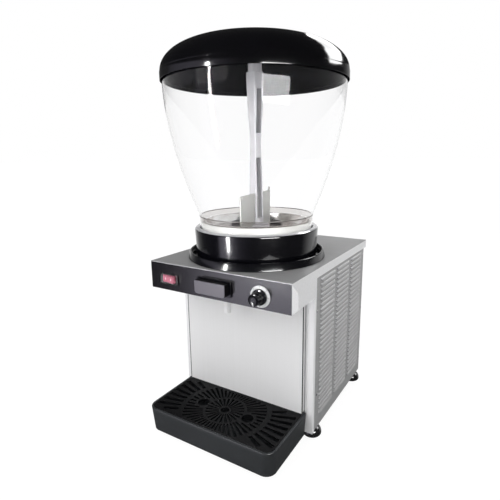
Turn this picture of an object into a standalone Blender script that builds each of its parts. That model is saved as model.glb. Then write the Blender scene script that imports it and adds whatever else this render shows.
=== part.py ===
"""Juice dispenser: a clear bowl with a lid and an agitator on a steel cabinet, with a push tap and a drip tray.

Metres, +Z up, +X to the viewer's right, +Y towards the back. The part stands on the floor at z = 0.
Inside the root empty, y is measured from the front face of the head, and the empty centres the whole.
"""

import math

import bmesh
import bpy
from mathutils import Matrix, Vector

# Clearances, sheet and smoothness
GAP = 0.0003
RUNNING_GAP = 0.0005
OVERRUN = 0.004
MERGE_DISTANCE = 0.000001
SHEET = 0.0012
LARGE_SIDES = 32
MIDDLE_SIDES = 16
SMALL_SIDES = 12
CORNER_STEPS = 3
SMOOTH_ANGLE = math.radians(35)

# Cabinet, top cover and head
DECK_WIDTH = 0.280
DECK_DEPTH = 0.360
FOOT_HEIGHT = 0.0167
BODY_HEIGHT = 0.3023
HEAD_HEIGHT = 0.0488
HEAD_DEPTH = 0.093
FOLD_DROP = 0.0162
BACK_OVERHANG = 0.010
FASCIA_RETURN = 0.023
FASCIA_STEP = 0.022
SIDE_THICKNESS = 0.0032
DECK = FOOT_HEIGHT + BODY_HEIGHT
HALF_WIDTH = DECK_WIDTH / 2
COVER_UNDER = DECK - SHEET
HEAD_BOTTOM = DECK - HEAD_HEIGHT
UNDERSIDE_TOP = HEAD_BOTTOM + SHEET
CABINET_BOTTOM = FOOT_HEIGHT + GAP
CABINET_BACK = DECK_DEPTH - BACK_OVERHANG
BACK_PANEL_FRONT = CABINET_BACK - SHEET
SIDE_FACE = HALF_WIDTH - SHEET - GAP
SIDE_INNER = SIDE_FACE - SIDE_THICKNESS
PANEL_TOP = COVER_UNDER - GAP
SHEET_TOP = HEAD_BOTTOM - GAP

# Front columns and splash panel
COLUMN_FACE = 0.015
COLUMN_OUTER_LEG = 0.008
COLUMN_INNER_LEG = 0.020
COLUMN_FRONT = HEAD_DEPTH - COLUMN_OUTER_LEG
SPLASH_SIDE_GAP = 0.0018
SPLASH_PROUD = 0.010
SPLASH_RETURN = 0.017
SPLASH_BOTTOM = 0.058
SPLASH_HALF = HALF_WIDTH - COLUMN_FACE - SPLASH_SIDE_GAP
SPLASH_FRONT = COLUMN_FRONT - SPLASH_PROUD

# Feet
FOOT_RADIUS = 0.0175
FOOT_SIDE_MARGIN = 0.012
FOOT_FRONT_MARGIN = 0.026
FOOT_BACK_MARGIN = 0.020
FOOT_STUD_RADIUS = 0.0035
FOOT_STUD_LENGTH = 0.006
FOOT_PROFILE_SHARES = [(0, 0), (0.9, 0), (1, 0.2), (0.95, 0.58), (0.74, 0.9), (0.5, 1)]
FOOT_OUT = HALF_WIDTH - FOOT_SIDE_MARGIN
FOOT_FRONT_Y = COLUMN_FRONT + FOOT_FRONT_MARGIN
FOOT_BACK_Y = CABINET_BACK - FOOT_BACK_MARGIN

# Base pan, its apron and the two tongues that carry the drip tray
PAN_FLANGE = 0.012
PAN_FRONT = COLUMN_FRONT + SHEET + GAP
PAN_STEP = COLUMN_FRONT + COLUMN_INNER_LEG + GAP
PAN_HALF = SIDE_INNER - GAP
PAN_FRONT_HALF = HALF_WIDTH - COLUMN_FACE - GAP
PAN_BACK = BACK_PANEL_FRONT - GAP
PAN_FLOOR = CABINET_BOTTOM + SHEET
APRON_HALF = SPLASH_HALF - SHEET - GAP
APRON_LAP = 0.002
APRON_TOP = SPLASH_BOTTOM + APRON_LAP
TONGUE_INNER = 0.060
TONGUE_OUTER = 0.084
TONGUE_REACH = 0.0145
TONGUE_RISE = 0.0053
TONGUE_HEIGHT = PAN_FLOOR + TONGUE_RISE

# Louvres in the side panels
LOUVRE_COLUMNS = 3
LOUVRE_ROWS = 29
LOUVRE_FRONT_MARGIN = 0.0275
LOUVRE_BACK_MARGIN = 0.0185
LOUVRE_COLUMN_GAP = 0.0105
LOUVRE_FIRST_Y = COLUMN_FRONT + LOUVRE_FRONT_MARGIN
LOUVRE_SPAN = CABINET_BACK - LOUVRE_BACK_MARGIN - LOUVRE_FIRST_Y
LOUVRE_COLUMN_PITCH = (LOUVRE_SPAN + LOUVRE_COLUMN_GAP) / LOUVRE_COLUMNS
LOUVRE_LENGTH = LOUVRE_COLUMN_PITCH - LOUVRE_COLUMN_GAP
LOUVRE_PITCH = 0.009
LOUVRE_HEIGHT = 0.0038
LOUVRE_TOP_DROP = 0.025

# Back panel vents and cable inlet
VENT_COLUMNS = 2
VENT_ROWS = 6
VENT_LENGTH = 0.085
VENT_HEIGHT = 0.004
VENT_PITCH = 0.011
VENT_COLUMN_PITCH = 0.105
VENT_TOP_DROP = 0.060
INLET_MARGIN = 0.045
INLET_X = INLET_MARGIN - HALF_WIDTH
INLET_HEIGHT = 0.050
INLET_RADIUS = 0.0068
GLAND_RADIUS = 0.0100
GLAND_HEAD = 0.005
GLAND_BORE = 0.0038
GLAND_TAIL = 0.008

# Bowl, measured from the deck and the bowl's axis, which the drip ring places
BOWL_WALL = 0.0026
BOWL_NECK_RADIUS = 0.103
BOWL_RADIUS = 0.1574
BOWL_NECK_HEIGHT = 0.030
BOWL_HEIGHT = 0.259
BOWL_BELLY_SHARE = 0.562
BOWL_STEPS = 7
SEAT_HEIGHT = 0.0497
SEAT_CLEARANCE = 0.0010
BOWL_BOTTOM = SEAT_HEIGHT + GAP
BOWL_NECK_TOP = BOWL_BOTTOM + BOWL_NECK_HEIGHT
BOWL_TOP = BOWL_BOTTOM + BOWL_HEIGHT

# Gasket and cooled dish
GASKET_WIDTH = 0.0043
GASKET_HEIGHT = 0.016
GASKET_CROWN = 0.0006
GASKET_TOP = BOWL_BOTTOM + GASKET_HEIGHT
DISH_SHEET = 0.0015
DISH_DEPTH = 0.0153
DISH_SLOPE = 0.0085
DISH_RIM_DROP = 0.0013
DISH_RIM_WIDTH = 0.003
DISH_BEND = 0.0020
DISH_FLANGE = 0.0085
DISH_RIM = GASKET_TOP + DISH_RIM_DROP
DISH_FLOOR = DISH_RIM - DISH_DEPTH
SKIRT_RADIUS = BOWL_NECK_RADIUS - BOWL_WALL - GAP - GASKET_WIDTH - GAP
DISH_RIM_RADIUS = SKIRT_RADIUS - DISH_RIM_WIDTH
DISH_FLOOR_RADIUS = DISH_RIM_RADIUS - DISH_SLOPE
DISH_FLANGE_RADIUS = SKIRT_RADIUS + DISH_FLANGE
DECK_HOLE_RADIUS = SKIRT_RADIUS + RUNNING_GAP
PIN_RADIUS = 0.004
PIN_HEIGHT = 0.008
PIN_CHAMFER = 0.001
PIN_TOP = DISH_FLOOR + PIN_HEIGHT
OUTLET_INSET = 0.0055
OUTLET_REACH = DISH_FLOOR_RADIUS - OUTLET_INSET

# Collar and drip ring
COLLAR_RIM = 0.010
COLLAR_DRAFT = 0.0025
COLLAR_LIP = 0.0063
COLLAR_WALL = 0.0025
COLLAR_SHOULDER = 0.0045
COLLAR_BEAD = 0.0008
COLLAR_RADIUS = BOWL_NECK_RADIUS + COLLAR_RIM
COLLAR_FOOT_RADIUS = COLLAR_RADIUS - COLLAR_DRAFT
COLLAR_TOP = SEAT_HEIGHT + COLLAR_LIP
RING_GUTTER = 0.0162
RING_DRAFT = 0.0032
RING_TOP = 0.0130
RING_WALL = 0.0025
RING_FLOOR = 0.0024
RING_LIP = 0.0008
RING_RADIUS = COLLAR_FOOT_RADIUS + RING_GUTTER
RING_TOP_RADIUS = RING_RADIUS - RING_DRAFT
RING_HOLE_RADIUS = DISH_FLANGE_RADIUS + RUNNING_GAP
RING_FRONT_MARGIN = 0.0061
COLLAR_FOOT = GAP + RING_FLOOR + GAP
BOWL_AXIS_Y = RING_RADIUS + RING_FRONT_MARGIN

# Lid and its boss
LID_WALL = 0.0025
LID_PLAY = 0.0007
LID_RISE = 0.061
LID_SHOULDER_RISE = 0.0077
LID_SKIRT = 0.006
LID_CLEARANCE = 0.0010
LID_LEDGE = 0.0040
LID_ROUNDNESS_SHARE = 0.306
LID_OUTER_STEPS = 7
LID_INNER_STEPS = 5
LID_RADIUS = BOWL_RADIUS + LID_PLAY + LID_WALL
LID_TOP = BOWL_TOP + LID_RISE
LID_SHOULDER = BOWL_TOP + LID_SHOULDER_RISE
BOSS_CLEARANCE = 0.0022
BOSS_WALL = 0.003
BOSS_LAP = 0.007

# Agitator: hub, paddle and column, measured from the deck
AGITATOR_FOOT = DISH_FLOOR + GAP
HUB_RADIUS = 0.024
HUB_HEIGHT = 0.006
PADDLE_CLEARANCE = 0.01015
PADDLE_THICKNESS = 0.003
PADDLE_HEIGHT = 0.0622
PADDLE_TIP = 0.007
PADDLE_RADIUS = DISH_FLOOR_RADIUS - PADDLE_CLEARANCE
PADDLE_TOP = AGITATOR_FOOT + PADDLE_HEIGHT
PADDLE_ANGLE = math.radians(10.4)
COLUMN_ANGLE = math.radians(-16)
COLUMN_RISE = 0.012
COLUMN_TOP = BOWL_TOP + COLUMN_RISE
NECK_DROP = 0.018
NECK_RADIUS = 0.0118
NECK_TOP = LID_TOP - NECK_DROP
BOSS_BORE = NECK_RADIUS + BOSS_CLEARANCE
BOSS_RADIUS = BOSS_BORE + BOSS_WALL
BOSS_BOTTOM = NECK_TOP - BOSS_LAP
COLUMN_SIDE = 0.0226
COLUMN_CHAMFER_SHARE = 0.12
COLUMN_SHARES = [(0, 0.86), (0.21, 0.82), (0.55, 0.66), (0.86, 0.94), (0.95, 1), (1, 1)]
WINDOW_SHARES = [(0.04, 0.46), (0.62, 0.9)]
WINDOW_WIDTH_SHARE = 0.5
WINDOW_DEPTH_SHARE = 0.34
ROD_RADIUS = 0.0022
ROD_END = 0.004
PIN_BORE = PIN_RADIUS + GAP

# Mixer drive under the dish
BRACKET_LAP = 0.016
BRACKET_HALF_WIDTH = 0.028
BRACKET_THICKNESS = 0.002
BRACKET_HALF_LENGTH = DECK_HOLE_RADIUS + BRACKET_LAP
MOTOR_RADIUS = 0.030
MOTOR_DROP = 0.022
MOTOR_TOP = DISH_FLOOR - MOTOR_DROP
MOTOR_BORE_DEPTH = 0.014
MAGNET_RADIUS = 0.032
MAGNET_THICKNESS = 0.011
DRIVE_SHAFT_RADIUS = 0.0035

# Push tap: button, guide, valve, spout and outlet tube
TAP_Y = 0.035
BUTTON_HALF = 0.0303
BUTTON_HEIGHT = 0.0222
BUTTON_RISE = 0.022
BUTTON_CENTRE_DROP = HEAD_HEIGHT - BUTTON_RISE
BUTTON_REACH = 0.015
BUTTON_CORNER = 0.005
BUTTON_EDGE = 0.0008
BUTTON_TRAVEL = 0.006
SLEEVE_CLEARANCE = 0.0004
SLEEVE_WALL = 0.0009
SLEEVE_DEPTH = 0.014
BEZEL_SIDE = 0.0042
BEZEL_EDGE = 0.0017
BEZEL_THICKNESS = 0.003
BEZEL_HALF = BUTTON_HALF + BEZEL_SIDE
BEZEL_HALF_HEIGHT = BUTTON_HEIGHT / 2 + BEZEL_EDGE
STOP_FLANGE = 0.002
STOP_LAP = 0.0015
PLUNGER_RADIUS = 0.004
PLUNGER_ENTRY = 0.010
VALVE_FRONT_REACH = 0.011
VALVE_BACK_REACH = 0.015
VALVE_HALF = 0.016
VALVE_RISE = 0.0148
VALVE_FRONT = TAP_Y - VALVE_FRONT_REACH
VALVE_BACK = TAP_Y + VALVE_BACK_REACH
VALVE_TOP_DROP = BUTTON_CENTRE_DROP - VALVE_RISE
PLUNGER_END = VALVE_FRONT + PLUNGER_ENTRY
SPRING_SEAT_RADIUS = 0.0068
SPRING_SEAT_DEPTH = 0.008
SPRING_WIRE = 0.0006
SPRING_RADIUS = 0.0056
SPRING_TURNS = 5
SPRING_POINTS = 6
SPRING_SIDES = 4
PLUNGER_CLEARANCE = 0.005
VALVE_BORE_END = PLUNGER_END + BUTTON_TRAVEL + PLUNGER_CLEARANCE
INLET_SETBACK = 0.0055
INLET_Y = TAP_Y + INLET_SETBACK
INLET_DEPTH = 0.007
SPOUT_RADIUS = 0.0063
SPOUT_BORE = 0.0045
SPOUT_TIP_DROP = 0.0825
SPOUT_HOLE_RADIUS = 0.0070
SPOUT_CHAMFER = 0.0008
TUBE_RADIUS = 0.0035
TUBE_BORE = 0.0023
TUBE_SIDES = 8
TUBE_STEPS = 6

# Rocker switch with its clear cover
SWITCH_MARGIN = 0.044
SWITCH_RISE = 0.0213
SWITCH_BODY_HALF = 0.0170
SWITCH_BODY_HALF_HEIGHT = 0.0083
SWITCH_BODY_DEPTH = 0.018
SWITCH_BEZEL_SIDE = 0.00225
SWITCH_BEZEL_EDGE = 0.0012
SWITCH_BEZEL_THICKNESS = 0.002
SWITCH_X = SWITCH_MARGIN - HALF_WIDTH
SWITCH_DROP = HEAD_HEIGHT - SWITCH_RISE
SWITCH_BEZEL_HALF = SWITCH_BODY_HALF + SWITCH_BEZEL_SIDE
SWITCH_BEZEL_HALF_HEIGHT = SWITCH_BODY_HALF_HEIGHT + SWITCH_BEZEL_EDGE
POCKET_SIDE_WALL = 0.0032
POCKET_WALL = 0.002
POCKET_DEPTH = 0.010
POCKET_HALF = SWITCH_BODY_HALF - POCKET_SIDE_WALL
POCKET_HALF_HEIGHT = SWITCH_BODY_HALF_HEIGHT - POCKET_WALL
ROCKER_PLAY = 0.0014
ROCKER_HALF = POCKET_HALF - ROCKER_PLAY
ROCKER_HALF_HEIGHT = POCKET_HALF_HEIGHT - GAP
ROCKER_PIVOT_DEPTH = 0.0025
ROCKER_FRONT = 0.0050
ROCKER_DISH = 0.0014
ROCKER_BACK = 0.0050
ROCKER_TILT = math.radians(8)
PIVOT_RADIUS = 0.0015
PIVOT_LENGTH = 0.0012
COVER_SIDE = 0.0004
COVER_EDGE = 0.0005
COVER_DEPTH = 0.0068
COVER_WALL = 0.0008
COVER_TAPER = 0.0013
COVER_CORNER = 0.003
COVER_HALF = SWITCH_BODY_HALF + COVER_SIDE
COVER_HALF_HEIGHT = SWITCH_BODY_HALF_HEIGHT + COVER_EDGE

# Thermostat: white dial, knob and body
DIAL_MARGIN = 0.053
DIAL_RISE = 0.0204
DIAL_RADIUS = 0.0175
DIAL_THICKNESS = 0.0015
DIAL_X = HALF_WIDTH - DIAL_MARGIN
DIAL_DROP = HEAD_HEIGHT - DIAL_RISE
SHAFT_RADIUS = 0.003
SHAFT_END = 0.010
SHAFT_HOLE_RADIUS = 0.0040
KNOB_SKIRT_RADIUS = 0.0128
KNOB_SKIRT = 0.0045
KNOB_STEP = 0.0024
KNOB_DRAFT = 0.0007
KNOB_GRIP_RADIUS = KNOB_SKIRT_RADIUS - KNOB_STEP
KNOB_TIP_RADIUS = KNOB_GRIP_RADIUS - KNOB_DRAFT
KNOB_HEIGHT = 0.019
KNOB_EDGE = 0.0008
POINTER_HALF_WIDTH = 0.0012
POINTER_REACH = 0.0105
POINTER_RISE = 0.0006
THERMOSTAT_HALF = 0.018
THERMOSTAT_HALF_HEIGHT = 0.013
THERMOSTAT_DEPTH = 0.020

# Drip tray and grid
TRAY_TOP_GAP = 0.001
TRAY_BACK_GAP = 0.0021
TRAY_SIDE_MARGIN = 0.011
TRAY_BOTTOM = 0.012
TRAY_REACH = 0.042
TRAY_TOP = SPLASH_BOTTOM - TRAY_TOP_GAP
TRAY_HALF = HALF_WIDTH - TRAY_SIDE_MARGIN
TRAY_BACK = PAN_FRONT - TRAY_BACK_GAP
TRAY_DRAFT = 0.003
TRAY_CORNER = 0.018
TRAY_BACK_CORNER = 0.003
TRAY_WALL = 0.003
TRAY_EDGE = 0.0008
TRAY_RIM = 0.0045
TRAY_LEDGE = 0.003
TONGUE_PLAY = 0.0010
GRID_THICKNESS = 0.003
GRID_BACK_GAP = 0.001
GRID_BACK = SPLASH_FRONT - GRID_BACK_GAP
GRID_CLEARANCE = 0.0005
GRID_HUB_Y = 0.0185
GRID_HUB_RADIUS = 0.008
GRID_BORDER = 0.003
FINGER_REACH = 0.0475
FINGER_RADIUS = 0.011
FINGER_MARGIN = 0.003
FINGER_SIDES = 12
FIRST_RING = (0.011, 0.035)
SECOND_RING = (0.039, 0.075)
THIRD_RING_START = 0.084
FIRST_RING_SLOTS = 24
OUTER_RING_SLOTS = 48
SLOT_WIDTH_SHARE = 0.52
SLOT_LENGTH_LEAST = 0.007

# Condenser and its fan behind the right side panel
CONDENSER_THICKNESS = 0.025
CONDENSER_CLEARANCE = 0.010
CONDENSER_FRONT_MARGIN = 0.0147
CONDENSER_BACK_MARGIN = 0.0288
CONDENSER_TOP_MARGIN = 0.074
CONDENSER_FRONT = PAN_STEP + CONDENSER_FRONT_MARGIN
CONDENSER_LENGTH = BACK_PANEL_FRONT - CONDENSER_BACK_MARGIN - CONDENSER_FRONT
CONDENSER_HEIGHT = PANEL_TOP - CONDENSER_TOP_MARGIN - PAN_FLOOR - GAP
CONDENSER_X = SIDE_INNER - CONDENSER_CLEARANCE - CONDENSER_THICKNESS
FIN_COUNT = 12
FIN_GROOVE = 0.004
FIN_DEPTH = 0.004
SHROUD_THICKNESS = 0.007
SHROUD_BORDER = 0.018
SHROUD_X = CONDENSER_X - GAP - SHROUD_THICKNESS
FAN_TIP_GAP = 0.004
FAN_WIDTH = 0.014
FAN_BLADES = 5
FAN_PITCH = math.radians(28)
FAN_BLADE_THICKNESS = 0.002
FAN_HUB_RADIUS = 0.018
FAN_SHAFT_RADIUS = 0.003
FAN_SHAFT_LENGTH = 0.016
FAN_MOTOR_RADIUS = 0.028
FAN_MOTOR_LENGTH = 0.045
FAN_MOTOR_GAP = 0.002
STAND_HALF = 0.012
FAN_RADIUS = min(CONDENSER_LENGTH, CONDENSER_HEIGHT) / 2 - SHROUD_BORDER - FAN_TIP_GAP
FAN_X = SHROUD_X - FAN_TIP_GAP - FAN_WIDTH / 2
FAN_Y = CONDENSER_FRONT + CONDENSER_LENGTH / 2
FAN_Z = PAN_FLOOR + GAP + CONDENSER_HEIGHT / 2
FAN_MOTOR_FRONT = FAN_X - FAN_WIDTH / 2 - FAN_MOTOR_GAP

# Compressor, between the left side panel and the fan's motor
COMPRESSOR_LEFT_MARGIN = 0.0173
COMPRESSOR_RIGHT_MARGIN = 0.026
COMPRESSOR_BACK_MARGIN = 0.0388
COMPRESSOR_PLATE = 0.003
COMPRESSOR_PLATE_RIM = 0.006
COMPRESSOR_HEIGHT = 0.150
COMPRESSOR_SHARES = [(0, 0), (0.55, 0), (0.9, 0.12), (1, 0.3), (1, 0.7), (0.92, 0.87), (0.6, 0.98), (0, 1)]
COMPRESSOR_LEFT = COMPRESSOR_LEFT_MARGIN - SIDE_INNER
COMPRESSOR_RIGHT = FAN_MOTOR_FRONT - FAN_MOTOR_LENGTH - COMPRESSOR_RIGHT_MARGIN
COMPRESSOR_PLATE_HALF = (COMPRESSOR_RIGHT - COMPRESSOR_LEFT) / 2
COMPRESSOR_RADIUS = COMPRESSOR_PLATE_HALF - COMPRESSOR_PLATE_RIM
COMPRESSOR_X = (COMPRESSOR_LEFT + COMPRESSOR_RIGHT) / 2
COMPRESSOR_Y = BACK_PANEL_FRONT - COMPRESSOR_BACK_MARGIN - COMPRESSOR_PLATE_HALF

# The root empty stands at the middle of the part's depth
CENTRE_Y = (DECK_DEPTH - TRAY_REACH) / 2


# Shape helpers


PLANES = {"X": "YZX", "Y": "XZY", "Z": "XYZ"}
FACING_FRONT = (math.pi / 2, 0, 0)
FACING_RIGHT = (0, math.pi / 2, 0)


def placed(pair, along, axis):
    """The point of an outline's pair, at a distance along an axis."""
    point = dict(zip(PLANES[axis], (*pair, along)))
    return [point[letter] for letter in "XYZ"]


def add_loft(bm, sections):
    """A solid through sections with equal numbers of points, closed by its first and last section."""
    rings = [[bm.verts.new(point) for point in section] for section in sections]
    count = len(rings[0])
    for lower, upper in zip(rings, rings[1:]):
        for index in range(count):
            after = (index + 1) % count
            bm.faces.new((lower[index], lower[after], upper[after], upper[index]))
    bm.faces.new(rings[0])
    bm.faces.new(rings[-1])


def add_prism(bm, outline, low, high, axis="Z"):
    add_loft(bm, [[placed(pair, along, axis) for pair in outline] for along in (low, high)])


def add_box(bm, x, y, z):
    """A box from three (low, high) spans."""
    add_prism(bm, [(x[0], y[0]), (x[1], y[0]), (x[1], y[1]), (x[0], y[1])], z[0], z[1])


def add_turned(bm, profile, sides):
    """A profile of (radius, height) turned about Z. A profile that starts and ends on the axis stays open."""
    verts = [bm.verts.new((radius, 0, height)) for radius, height in profile]
    edges = [bm.edges.new(pair) for pair in zip(verts, verts[1:])]
    if profile[0][0] or profile[-1][0]:
        edges.append(bm.edges.new((verts[-1], verts[0])))
    bmesh.ops.spin(
        bm,
        geom=verts + edges,
        cent=(0, 0, 0),
        axis=(0, 0, 1),
        dvec=(0, 0, 0),
        angle=math.tau,
        steps=sides,
        use_merge=True,
    )
    bmesh.ops.remove_doubles(bm, verts=bm.verts, dist=MERGE_DISTANCE)


def add_cylinder(bm, radius, low, high, sides):
    add_turned(bm, [(0, low), (radius, low), (radius, high), (0, high)], sides)


def tube_rings(path, radius, sides):
    """Rings of points round a path, each square to it and none twisted against the one before."""
    points = [Vector(point) for point in path]
    rings = []
    across = None
    for index, point in enumerate(points):
        before = points[max(index - 1, 0)]
        after = points[min(index + 1, len(points) - 1)]
        along = (after - before).normalized()
        if across is None:
            across = along.orthogonal()
        across = (across - along * across.dot(along)).normalized()
        up = along.cross(across)
        turns = [math.tau * side / sides for side in range(sides)]
        rings.append([point + (across * math.cos(turn) + up * math.sin(turn)) * radius for turn in turns])
    return rings


def add_pipe(bm, path, radius, bore, sides):
    """A round pipe along a path, open through its bore."""
    outer = [[bm.verts.new(point) for point in ring] for ring in tube_rings(path, radius, sides)]
    inner = [[bm.verts.new(point) for point in ring] for ring in tube_rings(path, bore, sides)]
    around = outer + inner[::-1]
    for first, second in zip(around, around[1:] + around[:1]):
        for side in range(sides):
            after = (side + 1) % sides
            bm.faces.new((first[side], first[after], second[after], second[side]))


def rounded(corners, steps=CORNER_STEPS):
    """The outline through corners of (x, y, radius), each rounded by its radius."""
    outline = []
    for index, (x, y, radius) in enumerate(corners):
        here = Vector((x, y))
        if not radius:
            outline.append((x, y))
            continue
        back = (Vector(corners[index - 1][:2]) - here).normalized()
        onward = (Vector(corners[(index + 1) % len(corners)][:2]) - here).normalized()
        half = back.angle(onward) / 2
        centre = here + (back + onward).normalized() * (radius / math.sin(half))
        start = here + back * (radius / math.tan(half)) - centre
        end = here + onward * (radius / math.tan(half)) - centre
        first = math.atan2(start.y, start.x)
        turn = (math.atan2(end.y, end.x) - first + math.pi) % math.tau - math.pi
        for step in range(steps + 1):
            angle = first + turn * step / steps
            outline.append((centre.x + radius * math.cos(angle), centre.y + radius * math.sin(angle)))
    return outline


def rectangle(half_width, half_height, radius=0, centre=(0, 0)):
    x, y = centre
    return rounded(
        [
            (x - half_width, y - half_height, radius),
            (x + half_width, y - half_height, radius),
            (x + half_width, y + half_height, radius),
            (x - half_width, y + half_height, radius),
        ]
    )


def circle(radius, sides, centre=(0, 0)):
    turns = [math.tau * side / sides for side in range(sides)]
    return [(centre[0] + radius * math.cos(turn), centre[1] + radius * math.sin(turn)) for turn in turns]


def moved_left(before, here, after, amount):
    """The corner here, moved to the left of the path so that both its edges move by the amount."""
    ways = []
    if before is not None:
        ways.append((here - before).normalized())
    if after is not None:
        ways.append((after - here).normalized())
    lefts = [Vector((-way.y, way.x)) for way in ways]
    middle = (lefts[0] + lefts[-1]).normalized()
    return here + middle * (amount / middle.dot(lefts[0]))


def inset(outline, amount):
    """A closed anticlockwise outline, drawn in by the amount."""
    points = [Vector(pair) for pair in outline]
    count = len(points)
    return [
        tuple(moved_left(points[index - 1], points[index], points[(index + 1) % count], amount))
        for index in range(count)
    ]


def beside(path, amount):
    """An open path moved sideways, to its left where the amount is positive."""
    points = [Vector(pair) for pair in path]
    befores = [None] + points[:-1]
    afters = points[1:] + [None]
    return [tuple(moved_left(*three, amount)) for three in zip(befores, points, afters)]


def folded(path, thickness):
    """The outline of a folded sheet that follows a path and lies to its left."""
    return list(path) + beside(path, thickness)[::-1]


def mesh_of(name, bm):
    bmesh.ops.recalc_face_normals(bm, faces=bm.faces)
    mesh = bpy.data.meshes.new(name)
    bm.to_mesh(mesh)
    bm.free()
    mesh.shade_smooth()
    mesh.set_sharp_from_angle(angle=SMOOTH_ANGLE)
    return mesh


def add_piece(name, bm, surface, location=(0, 0, 0), rotation=(0, 0, 0)):
    """A named solid under the root empty."""
    mesh = mesh_of(name, bm)
    mesh.materials.append(surface)
    piece = bpy.data.objects.new(name, mesh)
    bpy.context.scene.collection.objects.link(piece)
    piece.parent = bpy.data.objects["dispenser"]
    piece.location = location
    piece.rotation_euler = rotation
    return piece


def combine(piece, bm, operation, location=(0, 0, 0), rotation=(0, 0, 0)):
    """Cuts a helper solid from a piece, or joins it to the piece. The helper is placed as the pieces are."""
    name = f"{piece.name}_{operation.lower()}_{len(piece.modifiers) + 1}"
    helper = bpy.data.objects.new(name, mesh_of(name, bm))
    bpy.context.scene.collection.objects.link(helper)
    helper.parent = bpy.data.objects["dispenser"]
    helper.location = location
    helper.rotation_euler = rotation
    helper.hide_render = True
    helper.display_type = "WIRE"
    modifier = piece.modifiers.new(name, "BOOLEAN")
    modifier.operation = operation
    modifier.solver = "EXACT"
    modifier.object = helper


def cut(piece, bm, location=(0, 0, 0), rotation=(0, 0, 0)):
    combine(piece, bm, "DIFFERENCE", location, rotation)


def join(piece, bm, location=(0, 0, 0), rotation=(0, 0, 0)):
    combine(piece, bm, "UNION", location, rotation)


def new():
    return bmesh.new()


# Materials


def material(name, colour, roughness, metallic=0.0, transmission=0.0):
    surface = bpy.data.materials.new(name)
    surface.use_nodes = True
    shader = surface.node_tree.nodes["Principled BSDF"]
    shader.inputs["Base Color"].default_value = (*colour, 1)
    shader.inputs["Roughness"].default_value = roughness
    shader.inputs["Metallic"].default_value = metallic
    shader.inputs["Transmission Weight"].default_value = transmission
    surface.diffuse_color = (*colour, 1)
    surface.roughness = roughness
    surface.metallic = metallic
    return surface


def brushed_steel():
    return material("brushed_steel", (0.55, 0.55, 0.56), 0.32, 1.0)


def polished_steel():
    return material("polished_steel", (0.72, 0.72, 0.73), 0.16, 1.0)


def galvanised_steel():
    return material("galvanised_steel", (0.42, 0.43, 0.44), 0.5, 1.0)


def black_gloss():
    return material("black_gloss", (0.012, 0.012, 0.014), 0.12)


def black_plastic():
    return material("black_plastic", (0.018, 0.018, 0.02), 0.45)


def tray_plastic():
    return material("tray_plastic", (0.028, 0.031, 0.036), 0.4)


def button_plastic():
    return material("button_plastic", (0.16, 0.15, 0.17), 0.35)


def clear_plastic():
    return material("clear_plastic", (0.95, 0.97, 0.98), 0.03, 0.0, 1.0)


def white_plastic():
    return material("white_plastic", (0.62, 0.61, 0.63), 0.38)


def red_plastic():
    return material("red_plastic", (0.55, 0.03, 0.05), 0.25)


def white_gasket():
    return material("white_gasket", (0.82, 0.82, 0.80), 0.55)


def black_rubber():
    return material("black_rubber", (0.014, 0.014, 0.015), 0.62)


def black_enamel():
    return material("black_enamel", (0.015, 0.015, 0.016), 0.3)


def bare_aluminium():
    return material("bare_aluminium", (0.60, 0.61, 0.62), 0.42, 1.0)


# Cabinet


def make_foot(name, x, y, surface):
    profile = [(share * FOOT_RADIUS, up * FOOT_HEIGHT) for share, up in FOOT_PROFILE_SHARES]
    top = FOOT_HEIGHT + FOOT_STUD_LENGTH
    profile += [(FOOT_STUD_RADIUS, FOOT_HEIGHT), (FOOT_STUD_RADIUS, top), (0, top)]
    bm = new()
    add_turned(bm, profile, SMALL_SIDES)
    add_piece(name, bm, surface, (x, y, 0))


def foot_places():
    return {
        "foot_front_left": (-FOOT_OUT, FOOT_FRONT_Y),
        "foot_front_right": (FOOT_OUT, FOOT_FRONT_Y),
        "foot_back_left": (-FOOT_OUT, FOOT_BACK_Y),
        "foot_back_right": (FOOT_OUT, FOOT_BACK_Y),
    }


def make_base_pan(surface):
    """A folded pan, narrower between the front columns, with a raised apron and two tray tongues."""
    outline = [
        (-PAN_FRONT_HALF, PAN_FRONT),
        (PAN_FRONT_HALF, PAN_FRONT),
        (PAN_FRONT_HALF, PAN_STEP),
        (PAN_HALF, PAN_STEP),
        (PAN_HALF, PAN_BACK),
        (-PAN_HALF, PAN_BACK),
        (-PAN_HALF, PAN_STEP),
        (-PAN_FRONT_HALF, PAN_STEP),
    ]
    flange_top = CABINET_BOTTOM + PAN_FLANGE
    bm = new()
    add_prism(bm, outline, CABINET_BOTTOM, flange_top)
    pan = add_piece("base_pan", bm, surface)
    hollow = new()
    add_prism(hollow, inset(outline, SHEET), PAN_FLOOR, flange_top + OVERRUN)
    cut(pan, hollow)
    apron = new()
    add_box(apron, (-APRON_HALF, APRON_HALF), (PAN_FRONT, PAN_FRONT + SHEET), (PAN_FLOOR, APRON_TOP))
    join(pan, apron)
    tongues = new()
    for side in (-1, 1):
        across = sorted((side * TONGUE_INNER, side * TONGUE_OUTER))
        along = (PAN_FRONT - TONGUE_REACH, PAN_FRONT + SHEET / 2)
        add_box(tongues, across, along, (TONGUE_HEIGHT, TONGUE_HEIGHT + SHEET))
    join(pan, tongues)
    holes = new()
    for x, y in foot_places().values():
        outline = circle(FOOT_STUD_RADIUS + GAP, SMALL_SIDES, (x, y))
        add_prism(holes, outline, CABINET_BOTTOM - OVERRUN, CABINET_BOTTOM + OVERRUN)
    cut(pan, holes)


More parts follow.
